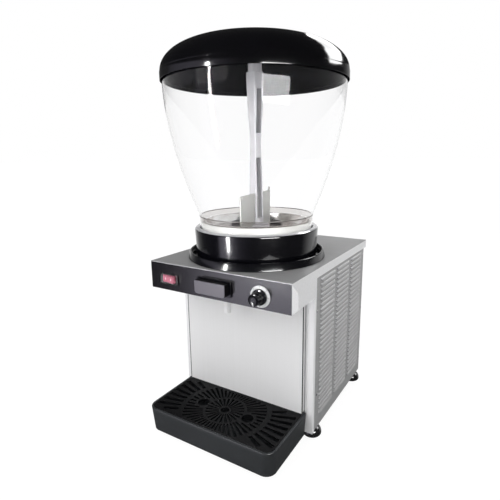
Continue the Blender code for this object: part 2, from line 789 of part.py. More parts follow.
def make_front_frame(name, side, surface):
    """A folded column: its face, a short outer leg and a longer inner leg."""
    inner = HALF_WIDTH - COLUMN_FACE
    path = [
        (HALF_WIDTH, HEAD_DEPTH),
        (HALF_WIDTH, COLUMN_FRONT),
        (inner, COLUMN_FRONT),
        (inner, COLUMN_FRONT + COLUMN_INNER_LEG),
    ]
    outline = [(side * x, y) for x, y in folded(path, -SHEET)]
    bm = new()
    add_prism(bm, outline, CABINET_BOTTOM, SHEET_TOP)
    add_piece(name, bm, surface)


def make_splash_panel(surface):
    back = SPLASH_FRONT + SPLASH_RETURN
    path = [
        (-SPLASH_HALF, back),
        (-SPLASH_HALF, SPLASH_FRONT),
        (SPLASH_HALF, SPLASH_FRONT),
        (SPLASH_HALF, back),
    ]
    bm = new()
    add_prism(bm, folded(path, SHEET), SPLASH_BOTTOM, SHEET_TOP)
    add_piece("splash_panel", bm, surface)


def make_side_panel(name, side, surface):
    """A side panel with slanted louvre slots that climb inwards."""
    bm = new()
    across = sorted((side * SIDE_INNER, side * SIDE_FACE))
    add_box(bm, across, (HEAD_DEPTH + GAP, BACK_PANEL_FRONT - GAP), (CABINET_BOTTOM, PANEL_TOP))
    panel = add_piece(name, bm, surface)
    slots = new()
    outer = SIDE_FACE + OVERRUN
    inner = SIDE_INNER - OVERRUN
    climb = outer - inner
    for column in range(LOUVRE_COLUMNS):
        front = LOUVRE_FIRST_Y + column * LOUVRE_COLUMN_PITCH
        for row in range(LOUVRE_ROWS):
            middle = DECK - LOUVRE_TOP_DROP - row * LOUVRE_PITCH
            low = middle - (LOUVRE_HEIGHT + climb) / 2
            high = low + LOUVRE_HEIGHT
            outline = [
                (side * outer, low),
                (side * outer, high),
                (side * inner, high + climb),
                (side * inner, low + climb),
            ]
            add_prism(slots, outline, front, front + LOUVRE_LENGTH, "Y")
    cut(panel, slots)


def make_back_panel(surface):
    bm = new()
    add_box(bm, (-SIDE_FACE, SIDE_FACE), (BACK_PANEL_FRONT, CABINET_BACK), (CABINET_BOTTOM, PANEL_TOP))
    panel = add_piece("back_panel", bm, surface)
    holes = new()
    span = (BACK_PANEL_FRONT - OVERRUN, CABINET_BACK + OVERRUN)
    for column in range(VENT_COLUMNS):
        x = (column - (VENT_COLUMNS - 1) / 2) * VENT_COLUMN_PITCH
        for row in range(VENT_ROWS):
            z = DECK - VENT_TOP_DROP - row * VENT_PITCH
            add_prism(holes, rectangle(VENT_LENGTH / 2, VENT_HEIGHT / 2, 0, (x, z)), *span, "Y")
    add_prism(holes, circle(INLET_RADIUS, SMALL_SIDES, (INLET_X, INLET_HEIGHT)), *span, "Y")
    cut(panel, holes)


def make_cable_gland(surface):
    """The open strain gland in the back panel's inlet hole."""
    stem = INLET_RADIUS - GAP
    inside = -GLAND_TAIL
    profile = [
        (GLAND_BORE, inside),
        (stem, inside),
        (stem, GAP),
        (GLAND_RADIUS, GAP),
        (GLAND_RADIUS, GLAND_HEAD - PIN_CHAMFER),
        (GLAND_RADIUS - PIN_CHAMFER, GLAND_HEAD),
        (GLAND_BORE, GLAND_HEAD),
    ]
    bm = new()
    add_turned(bm, profile, SMALL_SIDES)
    place = (INLET_X, CABINET_BACK, INLET_HEIGHT)
    add_piece("cable_gland", bm, surface, place, (-math.pi / 2, 0, 0))


def make_top_cover(surface):
    """The deck with its side and back folds and the two cheeks of the head."""
    corner = SHEET + GAP
    outline = [
        (0, DECK),
        (0, PANEL_TOP),
        (corner + GAP, PANEL_TOP),
        (FASCIA_RETURN + GAP, DECK - FASCIA_STEP),
        (FASCIA_RETURN + GAP, HEAD_BOTTOM),
        (HEAD_DEPTH, HEAD_BOTTOM),
        (HEAD_DEPTH, DECK - FOLD_DROP),
        (DECK_DEPTH, DECK - FOLD_DROP),
        (DECK_DEPTH, DECK),
    ]
    bm = new()
    add_prism(bm, outline, -HALF_WIDTH, HALF_WIDTH, "X")
    cover = add_piece("top_cover", bm, surface)
    inside = new()
    inner = HALF_WIDTH - SHEET
    add_box(inside, (-inner, inner), (-OVERRUN, DECK_DEPTH - SHEET), (HEAD_BOTTOM - OVERRUN, COVER_UNDER))
    cut(cover, inside)
    lip = new()
    add_box(lip, (-HALF_WIDTH - OVERRUN, HALF_WIDTH + OVERRUN), (-OVERRUN, corner), (PANEL_TOP - OVERRUN, COVER_UNDER))
    cut(cover, lip)
    hole = new()
    add_cylinder(hole, DECK_HOLE_RADIUS, -OVERRUN, OVERRUN, LARGE_SIDES)
    cut(cover, hole, (0, BOWL_AXIS_Y, DECK))


def make_fascia(surface):
    """The front of the head, folded back at both ends and cut out for the tap, the switch and the dial."""
    top = PANEL_TOP
    outline = [
        (0, top),
        (0, HEAD_BOTTOM),
        (FASCIA_RETURN, HEAD_BOTTOM),
        (FASCIA_RETURN, DECK - FASCIA_STEP),
        (SHEET + GAP, top),
    ]
    bm = new()
    add_prism(bm, outline, -HALF_WIDTH, HALF_WIDTH, "X")
    fascia = add_piece("fascia", bm, surface)
    inside = new()
    inner = HALF_WIDTH - SHEET
    span = (SHEET, FASCIA_RETURN + OVERRUN)
    add_box(inside, (-inner, inner), span, (HEAD_BOTTOM - OVERRUN, top + OVERRUN))
    cut(fascia, inside)
    holes = new()
    through = (-OVERRUN, SHEET + OVERRUN)
    sleeve = sleeve_outline(SLEEVE_CLEARANCE + SLEEVE_WALL + GAP)
    add_prism(holes, sleeve, *through, "Y")
    centre = (SWITCH_X, DECK - SWITCH_DROP)
    add_prism(
        holes,
        rectangle(SWITCH_BODY_HALF + GAP, SWITCH_BODY_HALF_HEIGHT + GAP, 0, centre),
        *through,
        "Y",
    )
    add_prism(holes, circle(SHAFT_HOLE_RADIUS, SMALL_SIDES, (DIAL_X, DECK - DIAL_DROP)), *through, "Y")
    cut(fascia, holes)


def make_head_underside(surface):
    bm = new()
    front = SHEET + GAP
    add_box(bm, (-SIDE_FACE, SIDE_FACE), (front, HEAD_DEPTH - GAP), (HEAD_BOTTOM, UNDERSIDE_TOP))
    sheet = add_piece("head_underside", bm, surface)
    hole = new()
    add_cylinder(hole, SPOUT_HOLE_RADIUS, -OVERRUN, OVERRUN, SMALL_SIDES)
    cut(sheet, hole, (0, TAP_Y, HEAD_BOTTOM))


# Bowl seat, bowl and lid


def bowl_centre():
    return (0, BOWL_AXIS_Y, DECK)


def make_drip_ring(surface):
    """The low tray round the collar, which catches what runs down the bowl."""
    floor_top = GAP + RING_FLOOR
    profile = [
        (RING_HOLE_RADIUS, GAP),
        (RING_RADIUS - RING_LIP, GAP),
        (RING_RADIUS, GAP + RING_LIP),
        (RING_TOP_RADIUS, RING_TOP - RING_LIP),
        (RING_TOP_RADIUS - RING_LIP, RING_TOP),
        (RING_TOP_RADIUS - RING_WALL, RING_TOP),
        (RING_RADIUS - RING_WALL - RING_LIP, floor_top),
        (RING_HOLE_RADIUS, floor_top),
    ]
    bm = new()
    add_turned(bm, profile, LARGE_SIDES)
    add_piece("drip_ring", bm, surface, bowl_centre())


def seat_inner_radius():
    return SKIRT_RADIUS + GAP + COLLAR_BEAD / 2


def make_collar(surface):
    """The collar that carries the bowl on an inner ledge, with a rounded shoulder outside."""
    inner = BOWL_NECK_RADIUS + SEAT_CLEARANCE
    shoulder_start = COLLAR_TOP - COLLAR_SHOULDER
    shoulder_radius = COLLAR_RADIUS - COLLAR_SHOULDER
    shoulder = []
    for step in range(CORNER_STEPS):
        turn = math.pi / 2 * step / (CORNER_STEPS - 1)
        out = shoulder_radius + COLLAR_SHOULDER * math.cos(turn)
        shoulder.append((out, shoulder_start + COLLAR_SHOULDER * math.sin(turn)))
    ledge_bottom = SEAT_HEIGHT - COLLAR_WALL
    profile = [(COLLAR_FOOT_RADIUS, COLLAR_FOOT)]
    profile += shoulder
    profile += [
        (inner + COLLAR_BEAD, COLLAR_TOP),
        (inner, COLLAR_TOP - COLLAR_BEAD),
        (inner, SEAT_HEIGHT),
        (seat_inner_radius(), SEAT_HEIGHT),
        (seat_inner_radius(), ledge_bottom),
        (COLLAR_RADIUS - COLLAR_WALL, ledge_bottom),
        (COLLAR_FOOT_RADIUS - COLLAR_WALL, COLLAR_FOOT),
    ]
    bm = new()
    add_turned(bm, profile, LARGE_SIDES)
    add_piece("collar", bm, surface, bowl_centre())


def make_evaporator_plate(surface):
    """The drawn steel dish that cools the juice, with its drive pin, its skirt and its flange."""
    flange_top = GAP + DISH_SHEET
    top = [
        (0, DISH_FLOOR),
        (DISH_FLOOR_RADIUS, DISH_FLOOR),
        (DISH_RIM_RADIUS - DISH_BEND, DISH_RIM - DISH_RIM_DROP),
        (DISH_RIM_RADIUS, DISH_RIM),
        (SKIRT_RADIUS, DISH_RIM - DISH_RIM_DROP),
        (SKIRT_RADIUS, flange_top),
        (DISH_FLANGE_RADIUS, flange_top),
    ]
    pin = [(0, PIN_TOP), (PIN_RADIUS - PIN_CHAMFER, PIN_TOP), (PIN_RADIUS, PIN_TOP - PIN_CHAMFER)]
    pin.append((PIN_RADIUS, DISH_FLOOR))
    under = beside(top, -DISH_SHEET)[::-1]
    bm = new()
    add_turned(bm, pin + top[1:] + under, LARGE_SIDES)
    dish = add_piece("evaporator_plate", bm, surface, bowl_centre())
    hole = new()
    add_cylinder(hole, TUBE_RADIUS + GAP, -OVERRUN, OVERRUN, SMALL_SIDES)
    cut(dish, hole, (0, BOWL_AXIS_Y - OUTLET_REACH, DECK + DISH_FLOOR))


def make_bowl_gasket(surface):
    low = BOWL_BOTTOM
    inner = SKIRT_RADIUS + GAP
    outer = inner + GASKET_WIDTH
    profile = [
        (inner, low),
        (outer, low),
        (outer, GASKET_TOP - GASKET_CROWN),
        (outer - GASKET_CROWN, GASKET_TOP),
        (inner, GASKET_TOP - GASKET_CROWN),
    ]
    bm = new()
    add_turned(bm, profile, LARGE_SIDES)
    add_piece("bowl_gasket", bm, surface, bowl_centre())


def bowl_side():
    """The outer side of the bowl from its neck to its rim: a straight neck, then one smooth curve."""
    end = BOWL_TOP
    belly = BOWL_NECK_TOP + BOWL_BELLY_SHARE * (BOWL_TOP - BOWL_NECK_TOP)
    path = [(BOWL_NECK_RADIUS, BOWL_BOTTOM)]
    for step in range(BOWL_STEPS + 1):
        share = step / BOWL_STEPS
        rest = 1 - share
        radius = rest * rest * BOWL_NECK_RADIUS + (1 - rest * rest) * BOWL_RADIUS
        height = rest * rest * BOWL_NECK_TOP + 2 * rest * share * belly + share * share * end
        path.append((radius, height))
    return path


def make_bowl(surface):
    outer = bowl_side()
    inner = beside(outer, BOWL_WALL)
    inner[0] = (inner[0][0], BOWL_BOTTOM)
    inner[-1] = (inner[-1][0], BOWL_TOP)
    bm = new()
    add_turned(bm, outer + inner[::-1], LARGE_SIDES)
    add_piece("bowl", bm, surface, bowl_centre())


def dome(radius, low, top, steps):
    """A dome's side from its base up to the axis."""
    path = []
    for step in range(steps + 1):
        turn = math.pi / 2 * step / steps
        height = low + (top - low) * math.sin(turn)
        out = radius * math.cos(turn) ** (2 * LID_ROUNDNESS_SHARE)
        path.append((out if step < steps else 0, height))
    return path


def height_on(path, radius):
    """The height at which a falling path of (radius, height) crosses a radius."""
    for (out, low), (into, high) in zip(path, path[1:]):
        if into <= radius <= out:
            return low + (high - low) * (out - radius) / (out - into)
    return path[-1][1]


def lid_ceiling():
    """The inner side of the dome, from its shoulder up to the axis."""
    return dome(LID_RADIUS - LID_WALL, LID_SHOULDER, LID_TOP - LID_WALL, LID_INNER_STEPS)


def make_lid(surface):
    """The domed lid: a skirt round the bowl's rim and a ledge that rests on the rim."""
    seat = BOWL_TOP + GAP
    skirt_radius = BOWL_RADIUS + LID_CLEARANCE
    ledge_radius = skirt_radius - LID_LEDGE
    ledge_top = seat + LID_WALL
    outer = dome(LID_RADIUS, LID_SHOULDER, LID_TOP, LID_OUTER_STEPS)
    profile = outer[::-1]
    profile += [
        (LID_RADIUS, BOWL_TOP - LID_SKIRT),
        (skirt_radius, BOWL_TOP - LID_SKIRT),
        (skirt_radius, seat),
        (ledge_radius, seat),
        (ledge_radius, ledge_top),
    ]
    profile += [(LID_RADIUS - LID_WALL, ledge_top)] + lid_ceiling()
    bm = new()
    add_turned(bm, profile, LARGE_SIDES)
    add_piece("lid", bm, surface, bowl_centre())


def make_lid_boss(surface):
    """The tube under the crown of the lid, which steadies the neck of the column."""
    top = height_on(lid_ceiling(), BOSS_RADIUS) - GAP
    profile = [(BOSS_RADIUS, top), (BOSS_RADIUS, BOSS_BOTTOM), (BOSS_BORE, BOSS_BOTTOM), (BOSS_BORE, top)]
    bm = new()
    add_turned(bm, profile, MIDDLE_SIDES)
    add_piece("lid_boss", bm, surface, bowl_centre())


# Agitator and its drive


def column_height(share):
    low = AGITATOR_FOOT + HUB_HEIGHT / 2
    return low + share * (COLUMN_TOP - low)


def column_section(share, height):
    """A square with its corners cut off, as seen from above."""
    half = COLUMN_SIDE * share / 2
    side = half * (1 - COLUMN_CHAMFER_SHARE)
    corners = [(half, side), (side, half), (-side, half), (-half, side)]
    corners += [(-half, -side), (-side, -half), (side, -half), (half, -side)]
    return [(x, y, height) for x, y in corners]


def make_agitator(surface):
    """Hub, paddle, waisted column and neck in one moulding, with two window recesses in the column."""
    centre = bowl_centre()
    bm = new()
    top = AGITATOR_FOOT + HUB_HEIGHT
    add_cylinder(bm, HUB_RADIUS, AGITATOR_FOOT, top, MIDDLE_SIDES)
    agitator = add_piece("agitator", bm, surface, centre)
    column = new()
    add_loft(column, [column_section(share, column_height(up)) for up, share in COLUMN_SHARES])
    join(agitator, column, centre, (0, 0, COLUMN_ANGLE))
    neck = new()
    add_cylinder(neck, NECK_RADIUS, COLUMN_TOP - HUB_HEIGHT, NECK_TOP, SMALL_SIDES)
    join(agitator, neck, centre)
    tip = PADDLE_TOP + PADDLE_TIP
    near = -PADDLE_RADIUS
    outline = [
        (near, AGITATOR_FOOT),
        (PADDLE_RADIUS, AGITATOR_FOOT),
        (PADDLE_RADIUS, tip - PADDLE_TIP / 4),
        (PADDLE_RADIUS - PADDLE_TIP / 2, tip),
        (PADDLE_RADIUS - PADDLE_TIP, PADDLE_TOP),
        (near, PADDLE_TOP),
    ]
    paddle = new()
    add_prism(paddle, outline, -PADDLE_THICKNESS / 2, PADDLE_THICKNESS / 2, "X")
    join(agitator, paddle, centre, (0, 0, PADDLE_ANGLE))
    windows = new()
    half = COLUMN_SIDE * WINDOW_WIDTH_SHARE / 2
    depth = COLUMN_SIDE * WINDOW_DEPTH_SHARE / 2
    for low, high in WINDOW_SHARES:
        span = (column_height(low), column_height(high))
        add_box(windows, (-depth, COLUMN_SIDE), (-half, half), span)
    cut(agitator, windows, centre, (0, 0, COLUMN_ANGLE))
    bore = new()
    low, high = rod_span()
    add_cylinder(bore, ROD_RADIUS + GAP, low - GAP, high + GAP, SMALL_SIDES)
    cut(agitator, bore, centre)
    pin_hole = new()
    add_cylinder(pin_hole, PIN_BORE, AGITATOR_FOOT - OVERRUN, PIN_TOP + GAP, SMALL_SIDES)
    cut(agitator, pin_hole, centre)


def rod_span():
    """The rod's ends: just past the outer ends of the two windows."""
    low = column_height(WINDOW_SHARES[0][0]) - ROD_END / 2
    high = column_height(WINDOW_SHARES[-1][1]) + ROD_END
    return max(low, PIN_TOP + ROD_END / 4), high


def make_agitator_rod(surface):
    bm = new()
    low, high = rod_span()
    add_cylinder(bm, ROD_RADIUS, low, high, SMALL_SIDES)
    add_piece("agitator_rod", bm, surface, bowl_centre())


def make_motor_bracket(surface):
    """The strap across the deck's hole, under the deck, that carries the mixer motor."""
    bm = new()
    top = -SHEET - GAP
    outline = rectangle(BRACKET_HALF_LENGTH, BRACKET_HALF_WIDTH, MOTOR_RADIUS / 4)
    add_prism(bm, outline, top - BRACKET_THICKNESS, top)
    add_piece("motor_bracket", bm, surface, bowl_centre())


def make_mixer_motor(surface):
    bm = new()
    low = -SHEET
    edge = DRIVE_SHAFT_RADIUS
    bore = DRIVE_SHAFT_RADIUS + GAP
    profile = [
        (0, low),
        (MOTOR_RADIUS, low),
        (MOTOR_RADIUS, MOTOR_TOP - edge),
        (MOTOR_RADIUS - edge, MOTOR_TOP),
        (bore, MOTOR_TOP),
        (bore, MOTOR_TOP - MOTOR_BORE_DEPTH),
        (0, MOTOR_TOP - MOTOR_BORE_DEPTH),
    ]
    add_turned(bm, profile, MIDDLE_SIDES)
    add_piece("mixer_motor", bm, surface, bowl_centre())


def make_drive_magnet(surface):
    """The magnet disc that turns the agitator through the dish, with its shaft into the motor."""
    top = DISH_FLOOR - DISH_SHEET - RUNNING_GAP
    low = top - MAGNET_THICKNESS
    shaft_end = MOTOR_TOP - MOTOR_BORE_DEPTH + GAP
    edge = DRIVE_SHAFT_RADIUS / 2
    profile = [
        (0, shaft_end),
        (DRIVE_SHAFT_RADIUS, shaft_end),
        (DRIVE_SHAFT_RADIUS, low),
        (MAGNET_RADIUS - edge, low),
        (MAGNET_RADIUS, low + edge),
        (MAGNET_RADIUS, top),
        (0, top),
    ]
    bm = new()
    add_turned(bm, profile, MIDDLE_SIDES)
    add_piece("drive_magnet", bm, surface, bowl_centre())


# Tap


def button_centre():
    return DECK - BUTTON_CENTRE_DROP


def sleeve_outline(grown):
    """The button's outline in X and Z: square above, rounded below, drawn out by an amount."""
    z = button_centre()
    half = BUTTON_HALF + grown
    half_height = BUTTON_HEIGHT / 2 + grown
    radius = BUTTON_CORNER + grown
    corners = [
        (-half, z - half_height, radius),
        (half, z - half_height, radius),
        (half, z + half_height, 0),
        (-half, z + half_height, 0),
    ]
    return rounded(corners)


def make_push_button(surface):
    """The block that is pushed to pour, with a stop flange behind the sleeve and the valve's plunger."""
    outline = sleeve_outline(0)
    front = -BUTTON_REACH
    stop = SLEEVE_DEPTH + GAP
    sections = [
        [placed(pair, front, "Y") for pair in inset(outline, BUTTON_EDGE)],
        [placed(pair, front + BUTTON_EDGE, "Y") for pair in outline],
        [placed(pair, stop + STOP_FLANGE / 2, "Y") for pair in outline],
    ]
    bm = new()
    add_loft(bm, [[(x, y, z - button_centre()) for x, y, z in section] for section in sections])
    place = (0, 0, button_centre())
    button = add_piece("push_button", bm, surface, place)
    flange = new()
    add_prism(flange, sleeve_outline(STOP_LAP), stop, stop + STOP_FLANGE, "Y")
    join(button, flange)
    plunger = new()
    add_cylinder(plunger, PLUNGER_RADIUS, -PLUNGER_END, -stop, SMALL_SIDES)
    join(button, plunger, place, FACING_FRONT)


def make_button_guide(surface):
    """The bezel on the fascia and the sleeve through it."""
    z = button_centre()
    bm = new()
    bezel = rectangle(BEZEL_HALF, BEZEL_HALF_HEIGHT, BUTTON_CORNER / 4, (0, z))
    front = -GAP - BEZEL_THICKNESS
    sections = [
        [placed(pair, front, "Y") for pair in inset(bezel, BUTTON_EDGE)],
        [placed(pair, front + BUTTON_EDGE, "Y") for pair in bezel],
        [placed(pair, -GAP, "Y") for pair in bezel],
    ]
    add_loft(bm, sections)
    guide = add_piece("button_guide", bm, surface)
    sleeve = new()
    add_prism(sleeve, sleeve_outline(SLEEVE_CLEARANCE + SLEEVE_WALL), front / 2, SLEEVE_DEPTH, "Y")
    join(guide, sleeve)
    way = new()
    add_prism(way, sleeve_outline(SLEEVE_CLEARANCE), front - OVERRUN, SLEEVE_DEPTH + OVERRUN, "Y")
    cut(guide, way)


def make_button_spring(surface):
    """The coil spring between the button's stop flange and its seat in the valve."""
    start = SLEEVE_DEPTH + GAP + STOP_FLANGE + GAP + SPRING_WIRE
    end = VALVE_FRONT + SPRING_SEAT_DEPTH - GAP - SPRING_WIRE
    count = SPRING_TURNS * SPRING_POINTS
    path = []
    for step in range(count + 1):
        turn = math.tau * step / SPRING_POINTS
        y = start + (end - start) * step / count
        path.append((SPRING_RADIUS * math.cos(turn), y, SPRING_RADIUS * math.sin(turn)))
    bm = new()
    add_loft(bm, tube_rings(path, SPRING_WIRE, SPRING_SIDES))
    add_piece("button_spring", bm, surface, (0, 0, button_centre()))


def make_tap_valve(surface):
    """The valve block: plunger bore and spring seat in front, inlet above, outlet below."""
    z = button_centre()
    low = UNDERSIDE_TOP + GAP
    high = DECK - VALVE_TOP_DROP
    bm = new()
    add_prism(bm, rectangle(VALVE_HALF, (VALVE_BACK - VALVE_FRONT) / 2, PLUNGER_RADIUS), low, high)
    valve = add_piece("tap_valve", bm, surface, (0, (VALVE_FRONT + VALVE_BACK) / 2, 0))
    outlet = new()
    add_cylinder(outlet, SPOUT_BORE, low - OVERRUN, z - PLUNGER_RADIUS / 2, SMALL_SIDES)
    cut(valve, outlet, (0, TAP_Y, 0))
    bore = new()
    radius = PLUNGER_RADIUS + GAP
    floor = VALVE_FRONT + SPRING_SEAT_DEPTH
    mouth = OVERRUN - VALVE_FRONT
    profile = [
        (0, -VALVE_BORE_END),
        (radius, -VALVE_BORE_END),
        (radius, -floor),
        (SPRING_SEAT_RADIUS, -floor),
        (SPRING_SEAT_RADIUS, mouth),
        (0, mouth),
    ]
    add_turned(bore, profile, SMALL_SIDES)
    cut(valve, bore, (0, 0, z), FACING_FRONT)
    inlet = new()
    socket = TUBE_RADIUS + GAP
    profile = [
        (0, z + PLUNGER_RADIUS / 2),
        (TUBE_BORE, z + PLUNGER_RADIUS / 2),
        (TUBE_BORE, high - INLET_DEPTH),
        (socket, high - INLET_DEPTH),
        (socket, high + OVERRUN),
        (0, high + OVERRUN),
    ]
    add_turned(inlet, profile, SMALL_SIDES)
    cut(valve, inlet, (0, INLET_Y, 0))


def make_spout(surface):
    top = UNDERSIDE_TOP
    tip = DECK - SPOUT_TIP_DROP
    profile = [
        (SPOUT_BORE, tip),
        (SPOUT_RADIUS - SPOUT_CHAMFER, tip),
        (SPOUT_RADIUS, tip + SPOUT_CHAMFER),
        (SPOUT_RADIUS, top),
        (SPOUT_BORE, top),
    ]
    bm = new()
    add_turned(bm, profile, MIDDLE_SIDES)
    add_piece("spout", bm, surface, (0, TAP_Y, 0))


def make_outlet_tube(surface):
    """The tube from the dish's outlet down and forward into the valve."""
    start = Vector((0, BOWL_AXIS_Y - OUTLET_REACH, DECK + DISH_FLOOR))
    end = Vector((0, INLET_Y, DECK - VALVE_TOP_DROP - INLET_DEPTH + GAP))
    reach = (start.z - end.z) / 2
    lower = end + Vector((0, 0, reach))
    upper = start - Vector((0, 0, reach))
    path = []
    for step in range(TUBE_STEPS + 1):
        share = step / TUBE_STEPS
        rest = 1 - share
        ends = start * rest**3 + end * share**3
        path.append(ends + upper * (3 * share * rest**2) + lower * (3 * share**2 * rest))
    foot = Vector((0, 0, INLET_DEPTH))
    path.insert(0, start)
    path[1] = start - Vector((0, 0, DISH_SHEET * 2))
    path.append(end)
    path[-2] = end + foot
    bm = new()
    add_pipe(bm, path, TUBE_RADIUS, TUBE_BORE, TUBE_SIDES)
    add_piece("outlet_tube", bm, surface)


# Switch and thermostat


def switch_centre(y=0):
    return (SWITCH_X, y, DECK - SWITCH_DROP)


def make_switch_frame(surface):
    """The switch's bezel and body, with the pocket that the rocker tilts in and its pivot holes."""
    bm = new()
    bezel = rectangle(SWITCH_BEZEL_HALF, SWITCH_BEZEL_HALF_HEIGHT, COVER_CORNER / 2)
    add_prism(bm, bezel, -GAP - SWITCH_BEZEL_THICKNESS, -GAP, "Y")
    frame = add_piece("switch_frame", bm, surface, switch_centre())
    body = new()
    outline = rectangle(SWITCH_BODY_HALF, SWITCH_BODY_HALF_HEIGHT)
    add_prism(body, outline, -SWITCH_BEZEL_THICKNESS / 2, SWITCH_BODY_DEPTH, "Y")
    join(frame, body, switch_centre())
    pocket = new()
    outline = rectangle(POCKET_HALF, POCKET_HALF_HEIGHT)
    add_prism(pocket, outline, -SWITCH_BEZEL_THICKNESS - OVERRUN, POCKET_DEPTH, "Y")
    cut(frame, pocket, switch_centre())
    pivots = new()
    reach = ROCKER_HALF_HEIGHT + PIVOT_LENGTH + GAP
    add_cylinder(pivots, PIVOT_RADIUS + GAP, -reach, reach, SMALL_SIDES)
    cut(frame, pivots, switch_centre(ROCKER_PIVOT_DEPTH))


def make_switch_rocker(surface):
    """The rocker, tilted to its off side, with a dished front and two pivot pins."""
    front = -ROCKER_PIVOT_DEPTH - ROCKER_FRONT
    back = ROCKER_BACK - ROCKER_PIVOT_DEPTH
    outline = [
        (-ROCKER_HALF, front),
        (0, front + ROCKER_DISH),
        (ROCKER_HALF, front),
        (ROCKER_HALF, 0),
        (ROCKER_HALF / 2, back),
        (-ROCKER_HALF / 2, back),
        (-ROCKER_HALF, 0),
    ]
    bm = new()
    add_prism(bm, outline, -ROCKER_HALF_HEIGHT, ROCKER_HALF_HEIGHT)
    place = switch_centre(ROCKER_PIVOT_DEPTH)
    rocker = add_piece("switch_rocker", bm, surface, place, (0, 0, -ROCKER_TILT))
    pins = new()
    reach = ROCKER_HALF_HEIGHT + PIVOT_LENGTH
    add_cylinder(pins, PIVOT_RADIUS, -reach, reach, SMALL_SIDES)
    join(rocker, pins, place)


def make_switch_cover(surface):
    """The clear splash cover over the switch, open at its back."""
    back = -GAP - SWITCH_BEZEL_THICKNESS - GAP
    front = back - COVER_DEPTH
    wide = rectangle(COVER_HALF, COVER_HALF_HEIGHT, COVER_CORNER)
    narrow = inset(wide, COVER_TAPER)
    bm = new()
    add_loft(bm, [[placed(pair, y, "Y") for pair in outline] for outline, y in ((wide, back), (narrow, front))])
    cover = add_piece("switch_cover", bm, surface, switch_centre())
    hollow = new()
    outlines = ((inset(wide, COVER_WALL), back), (inset(narrow, COVER_WALL), front + COVER_WALL))
    sections = [[placed(pair, y, "Y") for pair in outline] for outline, y in outlines]
    opening = [placed(pair, back + RUNNING_GAP, "Y") for pair in outlines[0][0]]
    add_loft(hollow, [opening] + sections)
    cut(cover, hollow, switch_centre())


def dial_centre():
    return (DIAL_X, 0, DECK - DIAL_DROP)


def make_dial_plate(surface):
    low = GAP
    high = GAP + DIAL_THICKNESS
    bore = SHAFT_HOLE_RADIUS
    edge = DIAL_THICKNESS / 3
    profile = [(bore, low), (DIAL_RADIUS, low), (DIAL_RADIUS, high - edge), (DIAL_RADIUS - edge, high), (bore, high)]
    bm = new()
    add_turned(bm, profile, MIDDLE_SIDES)
    add_piece("dial_plate", bm, surface, dial_centre(), FACING_FRONT)


def make_thermostat_knob(surface):
    """The knob with its skirt, its pointer ridge and its shaft into the thermostat."""
    low = GAP + DIAL_THICKNESS + GAP
    skirt = low + KNOB_SKIRT
    top = low + KNOB_HEIGHT
    profile = [
        (0, -SHAFT_END),
        (SHAFT_RADIUS, -SHAFT_END),
        (SHAFT_RADIUS, low),
        (KNOB_SKIRT_RADIUS, low),
        (KNOB_SKIRT_RADIUS, skirt - KNOB_EDGE),
        (KNOB_GRIP_RADIUS, skirt),
        (KNOB_TIP_RADIUS, top - KNOB_EDGE),
        (KNOB_TIP_RADIUS - KNOB_EDGE, top),
        (0, top),
    ]
    bm = new()
    add_turned(bm, profile, MIDDLE_SIDES)
    knob = add_piece("thermostat_knob", bm, surface, dial_centre(), FACING_FRONT)
    pointer = new()
    across = (-POINTER_HALF_WIDTH, POINTER_HALF_WIDTH)
    add_box(pointer, across, (-POINTER_REACH, 0), (skirt - KNOB_EDGE, top + POINTER_RISE))
    join(knob, pointer, dial_centre(), FACING_FRONT)


def make_thermostat_body(surface):
    back = SHEET + GAP + THERMOSTAT_DEPTH
    bm = new()
    outline = rectangle(THERMOSTAT_HALF, THERMOSTAT_HALF_HEIGHT, SHAFT_RADIUS / 2)
    add_prism(bm, outline, SHEET + GAP, back, "Y")
    body = add_piece("thermostat_body", bm, surface, dial_centre())
    bore = new()
    add_cylinder(bore, SHAFT_RADIUS + GAP, -SHAFT_END - GAP, OVERRUN, SMALL_SIDES)
    cut(body, bore, dial_centre(), FACING_FRONT)


# Drip tray


def tray_outline(drawn_in, back):
    half = TRAY_HALF - drawn_in
    front = -TRAY_REACH + drawn_in
    corners = [
        (-half, back, TRAY_BACK_CORNER),
        (-half, front, TRAY_CORNER),
        (half, front, TRAY_CORNER),
        (half, back, TRAY_BACK_CORNER),
    ]
    return rounded(corners)


def grid_outline(drawn_in):
    """The grid's outline, with front corners that follow the tray's."""
    half = TRAY_HALF - TRAY_RIM - drawn_in
    front = -TRAY_REACH + TRAY_RIM + drawn_in
    back = GRID_BACK - drawn_in
    corners = [
        (-half, back, TRAY_BACK_CORNER),
        (-half, front, TRAY_CORNER - TRAY_RIM),
        (half, front, TRAY_CORNER - TRAY_RIM),
        (half, back, TRAY_BACK_CORNER),
    ]
    return rounded(corners)


def raised(outline, height):
    return [(x, y, height) for x, y in outline]


